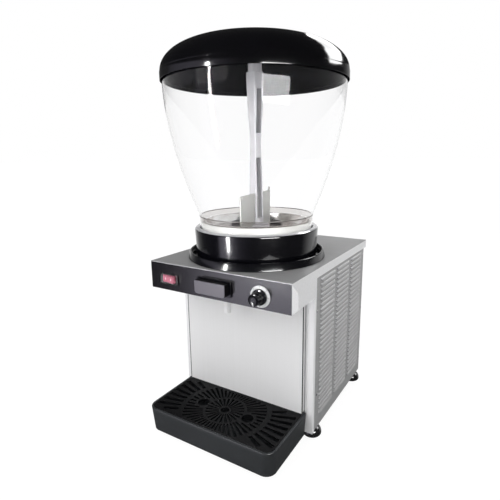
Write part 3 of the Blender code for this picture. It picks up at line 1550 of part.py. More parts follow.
def make_drip_tray(surface):
    """The tapered tray: a recess for the grid, a deep basin and two windows for the cabinet's tongues."""
    bm = new()
    sections = [
        raised(tray_outline(TRAY_DRAFT, TRAY_BACK), TRAY_BOTTOM),
        raised(tray_outline(0, TRAY_BACK), TRAY_TOP - TRAY_EDGE),
        raised(tray_outline(TRAY_EDGE, TRAY_BACK - TRAY_EDGE), TRAY_TOP),
    ]
    add_loft(bm, sections)
    tray = add_piece("drip_tray", bm, surface)
    seat = TRAY_TOP - GRID_THICKNESS - GAP
    recess = new()
    add_prism(recess, grid_outline(-GRID_CLEARANCE), seat, TRAY_TOP + OVERRUN)
    cut(tray, recess)
    floor = TRAY_BOTTOM + TRAY_WALL
    basin = new()
    low = tray_outline(TRAY_DRAFT + TRAY_WALL, GRID_BACK - TRAY_LEDGE)
    high = grid_outline(TRAY_LEDGE)
    add_loft(basin, [raised(low, floor), raised(high, seat), raised(high, seat + GRID_THICKNESS / 2)])
    cut(tray, basin)
    back = new()
    half = TRAY_HALF - TRAY_DRAFT - TRAY_WALL - TRAY_CORNER / 2
    depth = (GRID_BACK - TRAY_LEDGE - TRAY_CORNER / 2, TRAY_BACK - TRAY_WALL)
    add_box(back, (-half, half), depth, (floor + TRAY_EDGE, seat - TRAY_WALL))
    cut(tray, back)
    windows = new()
    for side in (-1, 1):
        across = sorted((side * (TONGUE_INNER - TONGUE_PLAY), side * (TONGUE_OUTER + TONGUE_PLAY)))
        high = TONGUE_HEIGHT + SHEET + GAP
        span = (GRID_BACK - TRAY_LEDGE, TRAY_BACK + OVERRUN)
        add_box(windows, across, span, (TONGUE_HEIGHT - TONGUE_PLAY, high))
    cut(tray, windows)


def distance_to_border(outline, turn):
    """How far it is from the grid's hub to an outline, along a direction."""
    way = Vector((math.cos(turn), math.sin(turn)))
    hub = Vector((0, GRID_HUB_Y))
    count = len(outline)
    nearest = None
    for index in range(count):
        start = Vector(outline[index]) - hub
        edge = Vector(outline[(index + 1) % count]) - hub - start
        across = way.cross(edge)
        if not across:
            continue
        distance = start.cross(edge) / across
        share = start.cross(way) / across
        if distance > 0 and 0 <= share <= 1:
            nearest = distance if nearest is None else min(nearest, distance)
    return nearest


def slot_outline(near, far, turn, half_angle, border):
    """One radial slot, kept clear of the finger holes and the border, or None where it would be too short."""
    way = Vector((math.cos(turn), math.sin(turn)))
    across = Vector((-way.y, way.x))
    hub = Vector((0, GRID_HUB_Y))
    for side in (-1, 1):
        finger = Vector((side * FINGER_REACH, 0))
        along = finger.dot(way)
        keep = FINGER_RADIUS + FINGER_MARGIN + abs(along) * half_angle
        aside = abs(finger.dot(across))
        if along > 0 and aside < keep and far > along:
            near = max(near, along + math.sqrt(keep**2 - aside**2))
    end = min([far] + [distance_to_border(border, turn + side * half_angle) for side in (-1, 0, 1)])
    if end - near < SLOT_LENGTH_LEAST:
        return None
    corners = [(near, -1), (near, 1), (end, 1), (end, -1)]
    return [tuple(hub + way * radius + across * (side * radius * half_angle)) for radius, side in corners]


def slot_outlines():
    """The grid's radial slots, ring by ring."""
    border = grid_outline(GRID_BORDER)
    corner_reach = math.hypot(TRAY_HALF, TRAY_BACK)
    rings = [(*FIRST_RING, FIRST_RING_SLOTS), (*SECOND_RING, OUTER_RING_SLOTS)]
    rings.append((THIRD_RING_START, corner_reach, OUTER_RING_SLOTS))
    slots = []
    for near, far, count in rings:
        for number in range(count):
            turn = math.tau * (number + 1 / 2) / count
            half_angle = math.pi / count * SLOT_WIDTH_SHARE
            slots.append(slot_outline(near, far, turn, half_angle, border))
    return [slot for slot in slots if slot]


def make_drip_grid(surface):
    """The flat grid with rings of radial slots, a round hole at its hub and two finger holes."""
    low = TRAY_TOP - GRID_THICKNESS
    bm = new()
    add_prism(bm, grid_outline(0), low, TRAY_TOP)
    grid = add_piece("drip_grid", bm, surface)
    holes = new()
    span = (low - OVERRUN, TRAY_TOP + OVERRUN)
    for outline in slot_outlines():
        add_prism(holes, outline, *span)
    add_prism(holes, circle(GRID_HUB_RADIUS, FINGER_SIDES, (0, GRID_HUB_Y)), *span)
    for side in (-1, 1):
        add_prism(holes, circle(FINGER_RADIUS, FINGER_SIDES, (side * FINGER_REACH, GRID_HUB_Y)), *span)
    cut(grid, holes)


# Refrigeration


def make_compressor(surface):
    """The welded compressor pot on its mounting plate."""
    low = PAN_FLOOR + GAP
    bm = new()
    outline = rectangle(COMPRESSOR_PLATE_HALF, COMPRESSOR_PLATE_HALF * 3 / 4, COMPRESSOR_PLATE_HALF / 4)
    add_prism(bm, outline, 0, COMPRESSOR_PLATE)
    pot = add_piece("compressor", bm, surface, (COMPRESSOR_X, COMPRESSOR_Y, low))
    shell = new()
    rise = COMPRESSOR_PLATE / 2
    profile = [
        (share * COMPRESSOR_RADIUS, rise + up * (COMPRESSOR_HEIGHT - rise)) for share, up in COMPRESSOR_SHARES
    ]
    add_turned(shell, profile, MIDDLE_SIDES)
    join(pot, shell, (COMPRESSOR_X, COMPRESSOR_Y, low))


def make_condenser(surface):
    """The finned condenser behind the right side panel's louvres."""
    low = PAN_FLOOR + GAP
    bm = new()
    back = CONDENSER_FRONT + CONDENSER_LENGTH
    face = CONDENSER_X + CONDENSER_THICKNESS
    add_box(bm, (CONDENSER_X, face), (CONDENSER_FRONT, back), (low, low + CONDENSER_HEIGHT))
    condenser = add_piece("condenser", bm, surface)
    grooves = new()
    pitch = CONDENSER_LENGTH / FIN_COUNT
    for number in range(FIN_COUNT):
        middle = CONDENSER_FRONT + (number + 1 / 2) * pitch
        span = (middle - FIN_GROOVE / 2, middle + FIN_GROOVE / 2)
        add_box(grooves, (face - FIN_DEPTH, face + OVERRUN), span, (low - OVERRUN, low + CONDENSER_HEIGHT + OVERRUN))
    cut(condenser, grooves)


def fan_centre(x):
    return (x, FAN_Y, FAN_Z)


def make_fan_shroud(surface):
    low = PAN_FLOOR + GAP
    bm = new()
    back = CONDENSER_FRONT + CONDENSER_LENGTH
    span = (SHROUD_X, SHROUD_X + SHROUD_THICKNESS)
    add_box(bm, span, (CONDENSER_FRONT, back), (low, low + CONDENSER_HEIGHT))
    shroud = add_piece("fan_shroud", bm, surface)
    hole = new()
    add_cylinder(hole, FAN_RADIUS + FAN_TIP_GAP, -OVERRUN, SHROUD_THICKNESS + OVERRUN, MIDDLE_SIDES)
    cut(shroud, hole, fan_centre(SHROUD_X), FACING_RIGHT)


def fan_blade(number):
    """One blade: a plate from inside the hub to the tip, pitched about its own radius."""
    root = FAN_HUB_RADIUS / 2
    half_root = FAN_HUB_RADIUS / 2
    half_tip = FAN_WIDTH
    bm = new()
    outline = [(root, -half_root), (FAN_RADIUS, -half_tip), (FAN_RADIUS, half_tip), (root, half_root)]
    add_prism(bm, outline, -FAN_BLADE_THICKNESS / 2, FAN_BLADE_THICKNESS / 2)
    turn = Matrix.Rotation(math.tau * number / FAN_BLADES, 4, "Z")
    bmesh.ops.transform(bm, matrix=turn @ Matrix.Rotation(FAN_PITCH, 4, "X"), verts=bm.verts)
    return bm


def make_condenser_fan(surface):
    """The fan on its shaft: a hub and pitched blades."""
    half = FAN_WIDTH / 2
    profile = [
        (0, -half - FAN_SHAFT_LENGTH),
        (FAN_SHAFT_RADIUS, -half - FAN_SHAFT_LENGTH),
        (FAN_SHAFT_RADIUS, -half),
        (FAN_HUB_RADIUS, -half),
        (FAN_HUB_RADIUS, half),
        (0, half),
    ]
    bm = new()
    add_turned(bm, profile, SMALL_SIDES)
    fan = add_piece("condenser_fan", bm, surface, fan_centre(FAN_X), FACING_RIGHT)
    for number in range(FAN_BLADES):
        join(fan, fan_blade(number), fan_centre(FAN_X), FACING_RIGHT)


def make_fan_motor(surface):
    """The fan motor on its stand, with the bore that takes the fan's shaft."""
    front = FAN_MOTOR_FRONT
    bore = FAN_SHAFT_RADIUS + GAP
    end = FAN_MOTOR_GAP - FAN_SHAFT_LENGTH - GAP
    edge = FAN_SHAFT_RADIUS
    profile = [
        (0, -FAN_MOTOR_LENGTH),
        (FAN_MOTOR_RADIUS - edge, -FAN_MOTOR_LENGTH),
        (FAN_MOTOR_RADIUS, -FAN_MOTOR_LENGTH + edge),
        (FAN_MOTOR_RADIUS, 0),
        (bore, 0),
        (bore, end),
        (0, end),
    ]
    bm = new()
    add_turned(bm, profile, SMALL_SIDES)
    motor = add_piece("fan_motor", bm, surface, fan_centre(front), FACING_RIGHT)
    stand = new()
    middle = front - FAN_MOTOR_LENGTH / 2
    low = PAN_FLOOR + GAP
    top = FAN_Z - FAN_MOTOR_RADIUS / 2
    across = (middle - STAND_HALF, middle + STAND_HALF)
    add_box(stand, across, (FAN_Y - STAND_HALF, FAN_Y + STAND_HALF), (low, top))
    join(motor, stand)


# Assembly


def clear_scene():
    for item in list(bpy.data.objects):
        bpy.data.objects.remove(item, do_unlink=True)


def add_root():
    root = bpy.data.objects.new("dispenser", None)
    bpy.context.scene.collection.objects.link(root)
    root.location = (0, -CENTRE_Y, 0)


def build():
    clear_scene()
    add_root()
    brushed = brushed_steel()
    polished = polished_steel()
    zinc = galvanised_steel()
    gloss = black_gloss()
    black = black_plastic()
    rubber = black_rubber()
    clear = clear_plastic()
    white = white_plastic()
    tray = tray_plastic()

    for name, (x, y) in foot_places().items():
        make_foot(name, x, y, rubber)
    make_base_pan(zinc)
    make_front_frame("front_frame_left", -1, brushed)
    make_front_frame("front_frame_right", 1, brushed)
    make_splash_panel(polished)
    make_side_panel("side_panel_left", -1, brushed)
    make_side_panel("side_panel_right", 1, brushed)
    make_back_panel(brushed)
    make_cable_gland(black)
    make_top_cover(brushed)
    make_fascia(brushed)
    make_head_underside(brushed)

    make_drip_ring(gloss)
    make_collar(gloss)
    make_evaporator_plate(polished)
    make_bowl_gasket(white_gasket())
    make_bowl(clear)
    make_lid(gloss)
    make_lid_boss(gloss)
    make_agitator(white)
    make_agitator_rod(polished)
    make_motor_bracket(zinc)
    make_mixer_motor(zinc)
    make_drive_magnet(black)

    make_button_guide(black)
    make_push_button(button_plastic())
    make_button_spring(polished)
    make_tap_valve(black)
    make_spout(white)
    make_outlet_tube(clear)

    make_switch_frame(black)
    make_switch_rocker(red_plastic())
    make_switch_cover(clear)
    make_dial_plate(white)
    make_thermostat_knob(black)
    make_thermostat_body(black)

    make_drip_tray(tray)
    make_drip_grid(tray)

    make_compressor(black_enamel())
    make_condenser(bare_aluminium())
    make_fan_shroud(zinc)
    make_condenser_fan(black)
    make_fan_motor(zinc)


build()
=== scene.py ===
"""Looks for the juice dispenser: finer shells, details, materials, studio and camera round the CAD part."""

import math

import bmesh
import bpy
from mathutils import Matrix, Quaternion, Vector

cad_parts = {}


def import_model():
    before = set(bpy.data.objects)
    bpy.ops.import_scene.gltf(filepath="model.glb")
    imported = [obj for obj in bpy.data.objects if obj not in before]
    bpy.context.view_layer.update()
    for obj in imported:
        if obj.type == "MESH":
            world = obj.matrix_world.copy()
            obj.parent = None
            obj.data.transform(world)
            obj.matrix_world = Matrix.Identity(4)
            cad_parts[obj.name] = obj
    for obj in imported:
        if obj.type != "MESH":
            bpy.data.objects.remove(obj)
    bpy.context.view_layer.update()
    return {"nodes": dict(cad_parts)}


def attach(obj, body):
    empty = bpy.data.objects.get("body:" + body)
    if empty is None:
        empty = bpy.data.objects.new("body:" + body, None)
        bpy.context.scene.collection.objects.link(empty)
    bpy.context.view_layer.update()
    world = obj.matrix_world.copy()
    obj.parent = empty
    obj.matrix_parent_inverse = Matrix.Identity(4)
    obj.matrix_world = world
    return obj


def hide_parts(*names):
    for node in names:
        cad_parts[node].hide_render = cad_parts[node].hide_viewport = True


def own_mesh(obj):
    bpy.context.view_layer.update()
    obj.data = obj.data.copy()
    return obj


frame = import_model()
NODES = frame["nodes"]

# Places in the part's frame, and sizes, in metres
DECK = 0.319
FACE = -0.159
BOWL = (0.0, FACE + 0.1328, DECK)
SIDE_FACE = 0.1385
DIAL = (0.087, FACE, DECK - 0.0284)
SWITCH = (-0.096, FACE, DECK - 0.0275)
TAP_Y = FACE + 0.035

# How finely pieces are turned, and how their edges are softened
RING_SIDES = 160
EDGE_SEGMENTS = 2
EDGE_ANGLE = math.radians(30)
SHARP_ANGLE = math.radians(35)
WELD_REACH = 0.00001
FILLET_STEPS = 4
FILLET_SHARE = 0.45


# Shapes


def finish_piece(name, bm, body, surface, replaces=(), bevel=0.0):
    """Makes an object of the mesh, gives it its material and body, and hides the nodes it stands for."""
    bmesh.ops.recalc_face_normals(bm, faces=bm.faces)
    mesh = bpy.data.meshes.new(name)
    bm.to_mesh(mesh)
    bm.free()
    mesh.shade_smooth()
    mesh.set_sharp_from_angle(angle=SHARP_ANGLE)
    piece = bpy.data.objects.new(name, mesh)
    bpy.context.scene.collection.objects.link(piece)
    mesh.materials.append(surface)
    if bevel:
        add_bevel(piece, bevel)
    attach(piece, body)
    if replaces:
        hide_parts(*replaces)
    return piece


def add_bevel(piece, width):
    """Rounds the sharp edges by modifiers, and evens out the shading beside them."""
    bevel = piece.modifiers.new("edges", "BEVEL")
    bevel.width = width
    bevel.segments = EDGE_SEGMENTS
    bevel.limit_method = "ANGLE"
    bevel.angle_limit = EDGE_ANGLE
    bevel.miter_outer = "MITER_ARC"
    normals = piece.modifiers.new("normals", "WEIGHTED_NORMAL")
    normals.keep_sharp = False


def soften(name, width):
    """Breaks a node's sharp edges by modifiers, without a change to its mesh."""
    node = NODES[name]
    weld = node.modifiers.new("weld", "WELD")
    weld.merge_threshold = WELD_REACH
    add_bevel(node, width)


def turned(bm, profile, sides, centre=(0, 0, 0), turn=None):
    """A profile of (radius, height) swept round Z, then turned and moved. Ends on the axis close it."""
    place = Matrix.Translation(centre) @ (turn or Matrix.Identity(4))
    rings = []
    for radius, height in profile:
        if radius == 0:
            rings.append([bm.verts.new(place @ Vector((0, 0, height)))])
            continue
        angles = [math.tau * side / sides for side in range(sides)]
        points = [Vector((radius * math.cos(a), radius * math.sin(a), height)) for a in angles]
        rings.append([bm.verts.new(place @ point) for point in points])
    pairs = list(zip(rings, rings[1:]))
    if len(rings[0]) > 1 or len(rings[-1]) > 1:
        pairs.append((rings[-1], rings[0]))
    for first, second in pairs:
        for side in range(sides):
            after = (side + 1) % sides
            corners = [first[side % len(first)], first[after % len(first)]]
            corners += [second[after % len(second)], second[side % len(second)]]
            corners = list(dict.fromkeys(corners))
            if len(corners) > 2:
                bm.faces.new(corners)


def loft(bm, sections, closed=True):
    """Joins rings of points one after another, and caps the two ends."""
    rings = [[bm.verts.new(point) for point in section] for section in sections]
    count = len(rings[0])
    for low, high in zip(rings, rings[1:]):
        for index in range(count):
            after = (index + 1) % count
            bm.faces.new((low[index], low[after], high[after], high[index]))
    if closed:
        bm.faces.new(rings[0])
        bm.faces.new(rings[-1])


def box(bm, x, y, z, turn=None, centre=(0, 0, 0)):
    """A box between two values on each axis, then turned and moved."""
    place = Matrix.Translation(centre) @ (turn or Matrix.Identity(4))
    corners = [(x[0], y[0]), (x[1], y[0]), (x[1], y[1]), (x[0], y[1])]
    loft(bm, [[place @ Vector((a, b, c)) for a, b in corners] for c in z])


def rounded(corners, steps=12):
    """The outline through corners of (x, y, radius), each rounded by its radius."""
    outline = []
    for index, (x, y, radius) in enumerate(corners):
        here = Vector((x, y))
        back = (Vector(corners[index - 1][:2]) - here).normalized()
        onward = (Vector(corners[(index + 1) % len(corners)][:2]) - here).normalized()
        half = back.angle(onward) / 2
        centre = here + (back + onward).normalized() * (radius / math.sin(half))
        start = here + back * (radius / math.tan(half)) - centre
        end = here + onward * (radius / math.tan(half)) - centre
        first = math.atan2(start.y, start.x)
        sweep = (math.atan2(end.y, end.x) - first + math.pi) % math.tau - math.pi
        for step in range(steps + 1):
            angle = first + sweep * step / steps
            outline.append((centre.x + radius * math.cos(angle), centre.y + radius * math.sin(angle)))
    return outline


def fillet(profile, radius):
    """An open path of (radius, height) with its inner corners rounded where there is room."""
    points = [Vector(pair) for pair in profile]
    path = [tuple(points[0])]
    for before, here, after in zip(points, points[1:], points[2:]):
        back = before - here
        onward = after - here
        reach = min(radius, back.length * FILLET_SHARE, onward.length * FILLET_SHARE)
        start = here + back.normalized() * reach
        end = here + onward.normalized() * reach
        for step in range(FILLET_STEPS + 1):
            share = step / FILLET_STEPS
            point = start * (1 - share) ** 2 + here * (2 * share * (1 - share)) + end * share**2
            path.append(tuple(point))
    path.append(tuple(points[-1]))
    return path


def turned_piece(name, profile, body, surface, replaces=(), sides=RING_SIDES, centre=BOWL):
    """A piece made of one turned profile, on the bowl's axis where no other centre is given."""
    bm = bmesh.new()
    turned(bm, profile, sides, centre)
    return finish_piece(name, bm, body, surface, replaces)


FRONTWARD = Matrix.Rotation(math.pi / 2, 4, "X")


# Materials

NOISE_LOW, NOISE_HIGH = 0.3, 0.7
STREAK = 0.02
GRAIN = {"X": (STREAK, 1, 1), "Y": (1, STREAK, 1), "Z": (1, 1, STREAK)}
SHINE_RANGE = 0.05
SKIN_RELIEF = 0.6


class Tree:
    """The node tree of a material or a world, whose nodes are made and fed in one call each."""

    def __init__(self, owner):
        owner.use_nodes = True
        self.nodes = owner.node_tree.nodes
        self.links = owner.node_tree.links

    def feed(self, socket, value):
        """Links a socket to an output, or sets it to a plain number, vector or colour."""
        if isinstance(value, bpy.types.NodeSocket):
            self.links.new(value, socket)
        else:
            socket.default_value = (*value, 1) if socket.type == "RGBA" else value

    def node(self, kind, inputs=(), **settings):
        made = self.nodes.new("ShaderNode" + kind)
        for key, value in settings.items():
            setattr(made, key, value)
        for key, value in dict(inputs).items():
            self.feed(made.inputs[key], value)
        return made

    def maths(self, operation, *values):
        return self.node("Math", enumerate(values), operation=operation).outputs["Value"]

    def vectors(self, operation, *values, output="Vector"):
        return self.node("VectorMath", enumerate(values), operation=operation).outputs[output]


class Surface(Tree):
    """A Principled material whose colour, roughness and relief come from patterns in object space."""

    def __init__(self, name, colour, roughness, metallic=0.0):
        self.material = bpy.data.materials.new(name)
        super().__init__(self.material)
        self.shader = self.nodes["Principled BSDF"]
        self.set("Base Color", colour)
        self.set("Roughness", roughness)
        self.set("Metallic", metallic)
        self.coordinates = self.node("TexCoord").outputs["Object"]
        self.relief = None

    def set(self, socket, value):
        self.feed(self.shader.inputs[socket], value)

    def noise(self, scale, stretch=(1, 1, 1), detail=3.0):
        mapping = self.node("Mapping", {"Vector": self.coordinates, "Scale": stretch})
        inputs = {"Vector": mapping.outputs["Vector"], "Scale": scale, "Detail": detail}
        return self.node("TexNoise", inputs).outputs["Fac"]

    def beyond(self, axis, limit):
        """One where the place on the axis is over the limit, nothing elsewhere."""
        split = self.node("SeparateXYZ", {"Vector": self.coordinates})
        return self.maths("GREATER_THAN", split.outputs[axis], limit)

    def spread(self, value, low, high, start=NOISE_LOW, end=NOISE_HIGH):
        """Maps the values from start to end onto those from low to high."""
        limits = {"From Min": start, "From Max": end, "To Min": low, "To Max": high}
        return self.node("MapRange", {"Value": value, **limits}).outputs["Result"]

    def ramp(self, value, first, second, start=NOISE_LOW, end=NOISE_HIGH):
        """A colour from first to second as the value goes from start to end."""
        ramp = self.node("ValToRGB", {"Fac": value})
        stops = ramp.color_ramp.elements
        for index, place, colour in ((0, start, first), (1, end, second)):
            stops[index].position = place
            stops[index].color = (*colour, 1)
        return ramp.outputs["Color"]

    def mix(self, share, first, second, blend="MIX"):
        inputs = {"Fac": share, "Color1": first, "Color2": second}
        return self.node("MixRGB", inputs, blend_type=blend).outputs["Color"]

    def colours(self, value, first, second, start=NOISE_LOW, end=NOISE_HIGH):
        self.set("Base Color", self.ramp(value, first, second, start, end))

    def roughness(self, value, low, high):
        self.set("Roughness", self.spread(value, low, high))

    def masked(self, mask, socket, off, on):
        """A number on a shader socket that changes with a mask."""
        self.set(socket, self.spread(mask, off, on, 0.0, 1.0))

    def bump(self, pattern, distance, strength=1.0):
        inputs = {"Height": pattern, "Distance": distance, "Strength": strength}
        if self.relief is not None:
            inputs["Normal"] = self.relief
        self.relief = self.node("Bump", inputs).outputs["Normal"]
        self.set("Normal", self.relief)


def steel(name, tone, roughness, grain, wave=0.0, metal=1.0, contrast=0.055, brush=0.5):
    """Brushed sheet: fine streaks along one axis, faint smears and a slight waviness."""
    surface = Surface(name, (tone, tone, tone * 1.01), roughness, metal)
    low = tuple(tone * (share - contrast) for share in (1, 1, 1.005))
    high = tuple(min(1, tone * (share + contrast)) for share in (1, 1, 1.01))
    surface.colours(surface.noise(260, GRAIN[grain], 2.0), low, high)
    surface.roughness(surface.noise(7), roughness - SHINE_RANGE, roughness + SHINE_RANGE)
    surface.bump(surface.noise(1400, GRAIN[grain], 2.0), 0.00003, brush)
    if wave:
        surface.bump(surface.noise(9, detail=1.0), wave)
    return surface


def moulded(
    name, colour, roughness, grain=900, depth=0.00003, spread=0.06, vary=0.12, specular=0.5, metal=0.0
):
    """A fine skin grain, and faint blotches in colour and gloss: plastic, rubber, paint or plain metal."""
    surface = Surface(name, colour, roughness, metal)
    low = tuple(value * (1 - vary) for value in colour)
    high = tuple(min(1, value * (1 + vary)) for value in colour)
    surface.colours(surface.noise(18, detail=4.0), low, high)
    surface.roughness(surface.noise(60), roughness - spread / 2, roughness + spread / 2)
    surface.set("Specular IOR Level", specular)
    surface.bump(surface.noise(grain, detail=2.0), depth, SKIN_RELIEF)
    return surface.material


CLEAR = (0.998, 0.998, 1.0)
CLEAR_INDEX = 1.22


def clear(name, roughness, low, high, depth, strength):
    """Clear plastic with a faint ripple. Its index is under a real one's, against glare inside the bowl."""
    surface = Surface(name, CLEAR, roughness)
    surface.set("Transmission Weight", 1.0)
    surface.set("IOR", CLEAR_INDEX)
    surface.roughness(surface.noise(14), low, high)
    surface.bump(surface.noise(12, detail=1.0), depth, strength)
    return surface


def zinc_surface():
    surface = Surface("zinc_sheet", (0.42, 0.43, 0.44), 0.48, 1.0)
    surface.colours(surface.noise(45, detail=5.0), (0.34, 0.35, 0.36), (0.50, 0.51, 0.52))
    surface.roughness(surface.noise(80, detail=4.0), 0.4, 0.56)
    return surface.material


def dish_surface():
    """Polished steel with broad warm and pale patches, which are painted reflections."""
    surface = steel("dish_steel", 0.44, 0.17, "X", wave=0.0004)
    # Painted reflection: the warm and pale patches stand in for what the polished steel reflects.
    painted_reflection_patches = surface.noise(16, (0.3, 1, 1), 4.0)
    surface.colours(painted_reflection_patches, (0.44, 0.39, 0.36), (0.72, 0.72, 0.72), 0.35, 0.6)
    return surface.material


def bowl_surface():
    """Clear plastic, tinted grey in a band round the lower neck, as painted shade."""
    surface = clear("clear_bowl", 0.012, 0.006, 0.019, 0.0001, 0.2)
    above_foot = surface.beyond("Z", DECK + 0.0662)
    above_neck = surface.beyond("Z", DECK + 0.0765)
    neck = surface.maths("SUBTRACT", above_foot, above_neck)
    # Painted shade: a grey tint in the clear wall's lower neck band.
    surface.set("Base Color", surface.mix(neck, CLEAR, (0.74, 0.72, 0.71)))
    return surface.material


def lid_surface():
    """Gloss black outside, satin black where the wall faces the lid's own inside."""
    surface = Surface("lid_black", (0.003, 0.003, 0.004), 0.1)
    outward = surface.vectors("SUBTRACT", surface.coordinates, (0, BOWL[1], DECK + 0.25))
    normal = surface.node("TexCoord").outputs["Normal"]
    inside = surface.maths("LESS_THAN", surface.vectors("DOT_PRODUCT", outward, normal, output="Value"), 0.0)
    surface.masked(inside, "Specular IOR Level", 0.5, 0.0)
    gloss = surface.spread(surface.noise(60), 0.08, 0.12)
    surface.set("Roughness", surface.maths("MULTIPLY_ADD", inside, 0.42, gloss))
    surface.colours(surface.noise(18, detail=4.0), (0.0026, 0.0026, 0.0034), (0.0034, 0.0034, 0.0046))
    surface.bump(surface.noise(200, detail=2.0), 0.00001, SKIN_RELIEF)
    return surface.material


def collar_surface():
    """Gloss black; the lip is painted light grey and part metallic, a painted highlight on its rounded
    shoulder.
    """
    black = (0.004, 0.004, 0.006)
    surface = Surface("collar_black", black, 0.14)
    flat = surface.vectors("SUBTRACT", surface.coordinates, (0, BOWL[1], 0))
    level = surface.vectors("MULTIPLY", flat, (1, 1, 0))
    within = surface.maths("LESS_THAN", surface.vectors("LENGTH", level, output="Value"), 0.1122)
    # Painted highlight: the lip's light grey stands in for the glint on the black collar's rounded top.
    painted_lip_highlight = surface.maths("MULTIPLY", within, surface.beyond("Z", DECK + 0.0512))
    surface.set("Base Color", surface.mix(painted_lip_highlight, black, (0.66, 0.66, 0.68)))
    surface.masked(painted_lip_highlight, "Metallic", 0.0, 0.35)
    surface.roughness(surface.noise(60), 0.11, 0.16)
    surface.bump(surface.noise(300, detail=2.0), 0.00001, SKIN_RELIEF)
    return surface.material


def top_surface():
    """Brushed deck sheet; its top is painted darker than its folded sides and cheeks, as painted shade."""
    surface = steel("top_steel", 0.40, 0.38, "X", metal=0.2)
    surface.set("Specular IOR Level", 0.3)
    # Painted shade: the top is darkened to 0.42 of the folded sides and cheeks.
    painted_top_shade = surface.mix(surface.beyond("Z", DECK - 0.0008), (1, 1, 1), (0.42, 0.42, 0.42))
    broad = surface.noise(260, GRAIN["X"], 2.0)
    streaks = surface.ramp(broad, (0.74, 0.74, 0.75), (0.86, 0.86, 0.87), 0.0, 1.0)
    surface.set("Base Color", surface.mix(1.0, streaks, painted_top_shade, "MULTIPLY"))
    return surface.material


def button_surface():
    """The button's face painted grey as a painted sheen, with black flanks behind it."""
    surface = Surface("button_painted_sheen", (0.125, 0.115, 0.140), 0.34)
    behind = surface.beyond("Y", FACE - 0.0142)
    # Painted sheen: the face is grey and the flanks black, though the plastic is one black throughout.
    surface.set("Base Color", surface.mix(behind, (0.150, 0.140, 0.165), (0.006, 0.006, 0.007)))
    surface.masked(behind, "Specular IOR Level", 0.4, 0.15)
    surface.roughness(surface.noise(60), 0.32, 0.38)
    surface.bump(surface.noise(900, detail=2.0), 0.00003, SKIN_RELIEF)
    return surface.material


def fascia_surface():
    """A dark film over the front face of the fascia, and bare brushed sheet on its returns."""
    film = Surface("fascia_film", (0.012, 0.011, 0.014), 0.26)
    bare = film.beyond("Y", FACE + 0.0007)
    mottle = film.ramp(film.noise(1600, (1, 1, 0.08), 2.0), (0.006, 0.005, 0.007), (0.010, 0.009, 0.012))
    film.set("Base Color", film.mix(bare, mottle, (0.84, 0.84, 0.85)))
    film.set("Metallic", bare)
    film.roughness(film.noise(2400, (1, 1, 0.05), 2.0), 0.16, 0.20)
    film.bump(film.noise(2600, (1, 1, 0.05), 2.0), 0.00002, 0.3)
    film.set("Specular IOR Level", 0.8)
    return film.material


# Painted shade: the side, back and underside sheet is a darker copy of the front columns' steel.
SHADED_SIDE_STEEL = steel("side_steel_painted_shade", 0.35, 0.55, "Y", metal=0.35).material
COLUMN_STEEL = steel("column_steel", 0.86, 0.50, "Z", metal=0.1, contrast=0.02).material
SPLASH_STEEL = steel("splash_steel", 0.84, 0.60, "Z", metal=0.0, contrast=0.008, brush=0.1).material
ALUMINIUM = steel("fin_aluminium", 0.60, 0.42, "Z").material
BRIGHT_STEEL = moulded("bright_steel", (0.66, 0.66, 0.68), 0.2, 500, 0.00001, metal=1.0)
# Painted shade: the rod's steel is near black, to draw the shaded edges of the column's windows.
ROD = moulded("rod_steel_painted_shade", (0.02, 0.02, 0.02), 0.3, 400, 0.00001, metal=1.0)
GLOSS = moulded("gloss_black", (0.004, 0.004, 0.006), 0.14, 300, 0.00001, 0.05)
BLACK = moulded("satin_black", (0.014, 0.014, 0.016), 0.42)
TRAY = moulded("tray_black", (0.027, 0.030, 0.033), 0.45, 1100, 0.00005, specular=0.3)
GRID = moulded("grid_black", (0.003, 0.003, 0.004), 0.42, specular=0.12)
ENAMEL = moulded("black_enamel", (0.015, 0.015, 0.016), 0.3, 250, 0.00006)
RUBBER = moulded("foot_rubber", (0.010, 0.010, 0.011), 0.2, 700, 0.00002)
WHITE = moulded("white_moulding", (0.90, 0.90, 0.91), 0.36, 500, 0.00002, 0.08, 0.03)
STIRRER = moulded("stirrer_white", (0.44, 0.435, 0.455), 0.36, 500, 0.00002, 0.08, 0.03)
# Painted shade: the paddle's white is a darker copy of the column's, since its face turns away from the
# light.
SHADED_PADDLE = moulded("paddle_white_painted_shade", (0.34, 0.34, 0.325), 0.4, 500, 0.00002, 0.08, 0.03)
DIAL_WHITE = moulded("dial_white", (0.84, 0.84, 0.85), 0.4, 600, 0.00001, 0.06, 0.02)
GASKET = moulded("gasket_white", (0.42, 0.42, 0.405), 0.5, 400, 0.00004, 0.08, 0.05)
RED = moulded("rocker_red", (0.46, 0.13, 0.19), 0.22, 400, 0.00001)
# Black for the dial's print, and for the painted shadow strips.
PRINT_AND_SHADOW = moulded("print_and_shadow_black", (0.006, 0.006, 0.007), 0.5)
# Painted shade: the bead's dark colour draws the crease in the clear bowl as a dark line.
BEAD = moulded("neck_bead_painted_shade", (0.16, 0.145, 0.135), 0.3, 400, 0.00001)
MARK = moulded("mark_white", (0.85, 0.85, 0.85), 0.5, 600, 0.00001, 0.06, 0.02)
MAGNET = moulded("dark_magnet", (0.03, 0.03, 0.032), 0.5)
CLEAR_COVER = clear("clear_cover", 0.08, 0.04, 0.128, 0.0002, 0.25).material
ZINC = zinc_surface()
DISH_STEEL = dish_surface()
TOP_STEEL = top_surface()
BUTTON = button_surface()
CLEAR_BOWL = bowl_surface()
LID_GLOSS = lid_surface()
COLLAR = collar_surface()
FASCIA = fascia_surface()


def dress(surface, *names):
    """Gives its material to each node that is shown as it is."""
    for name in names:
        slots = NODES[name].data.materials
        if not slots:
            slots.append(surface)
        for index in range(len(slots)):
            slots[index] = surface


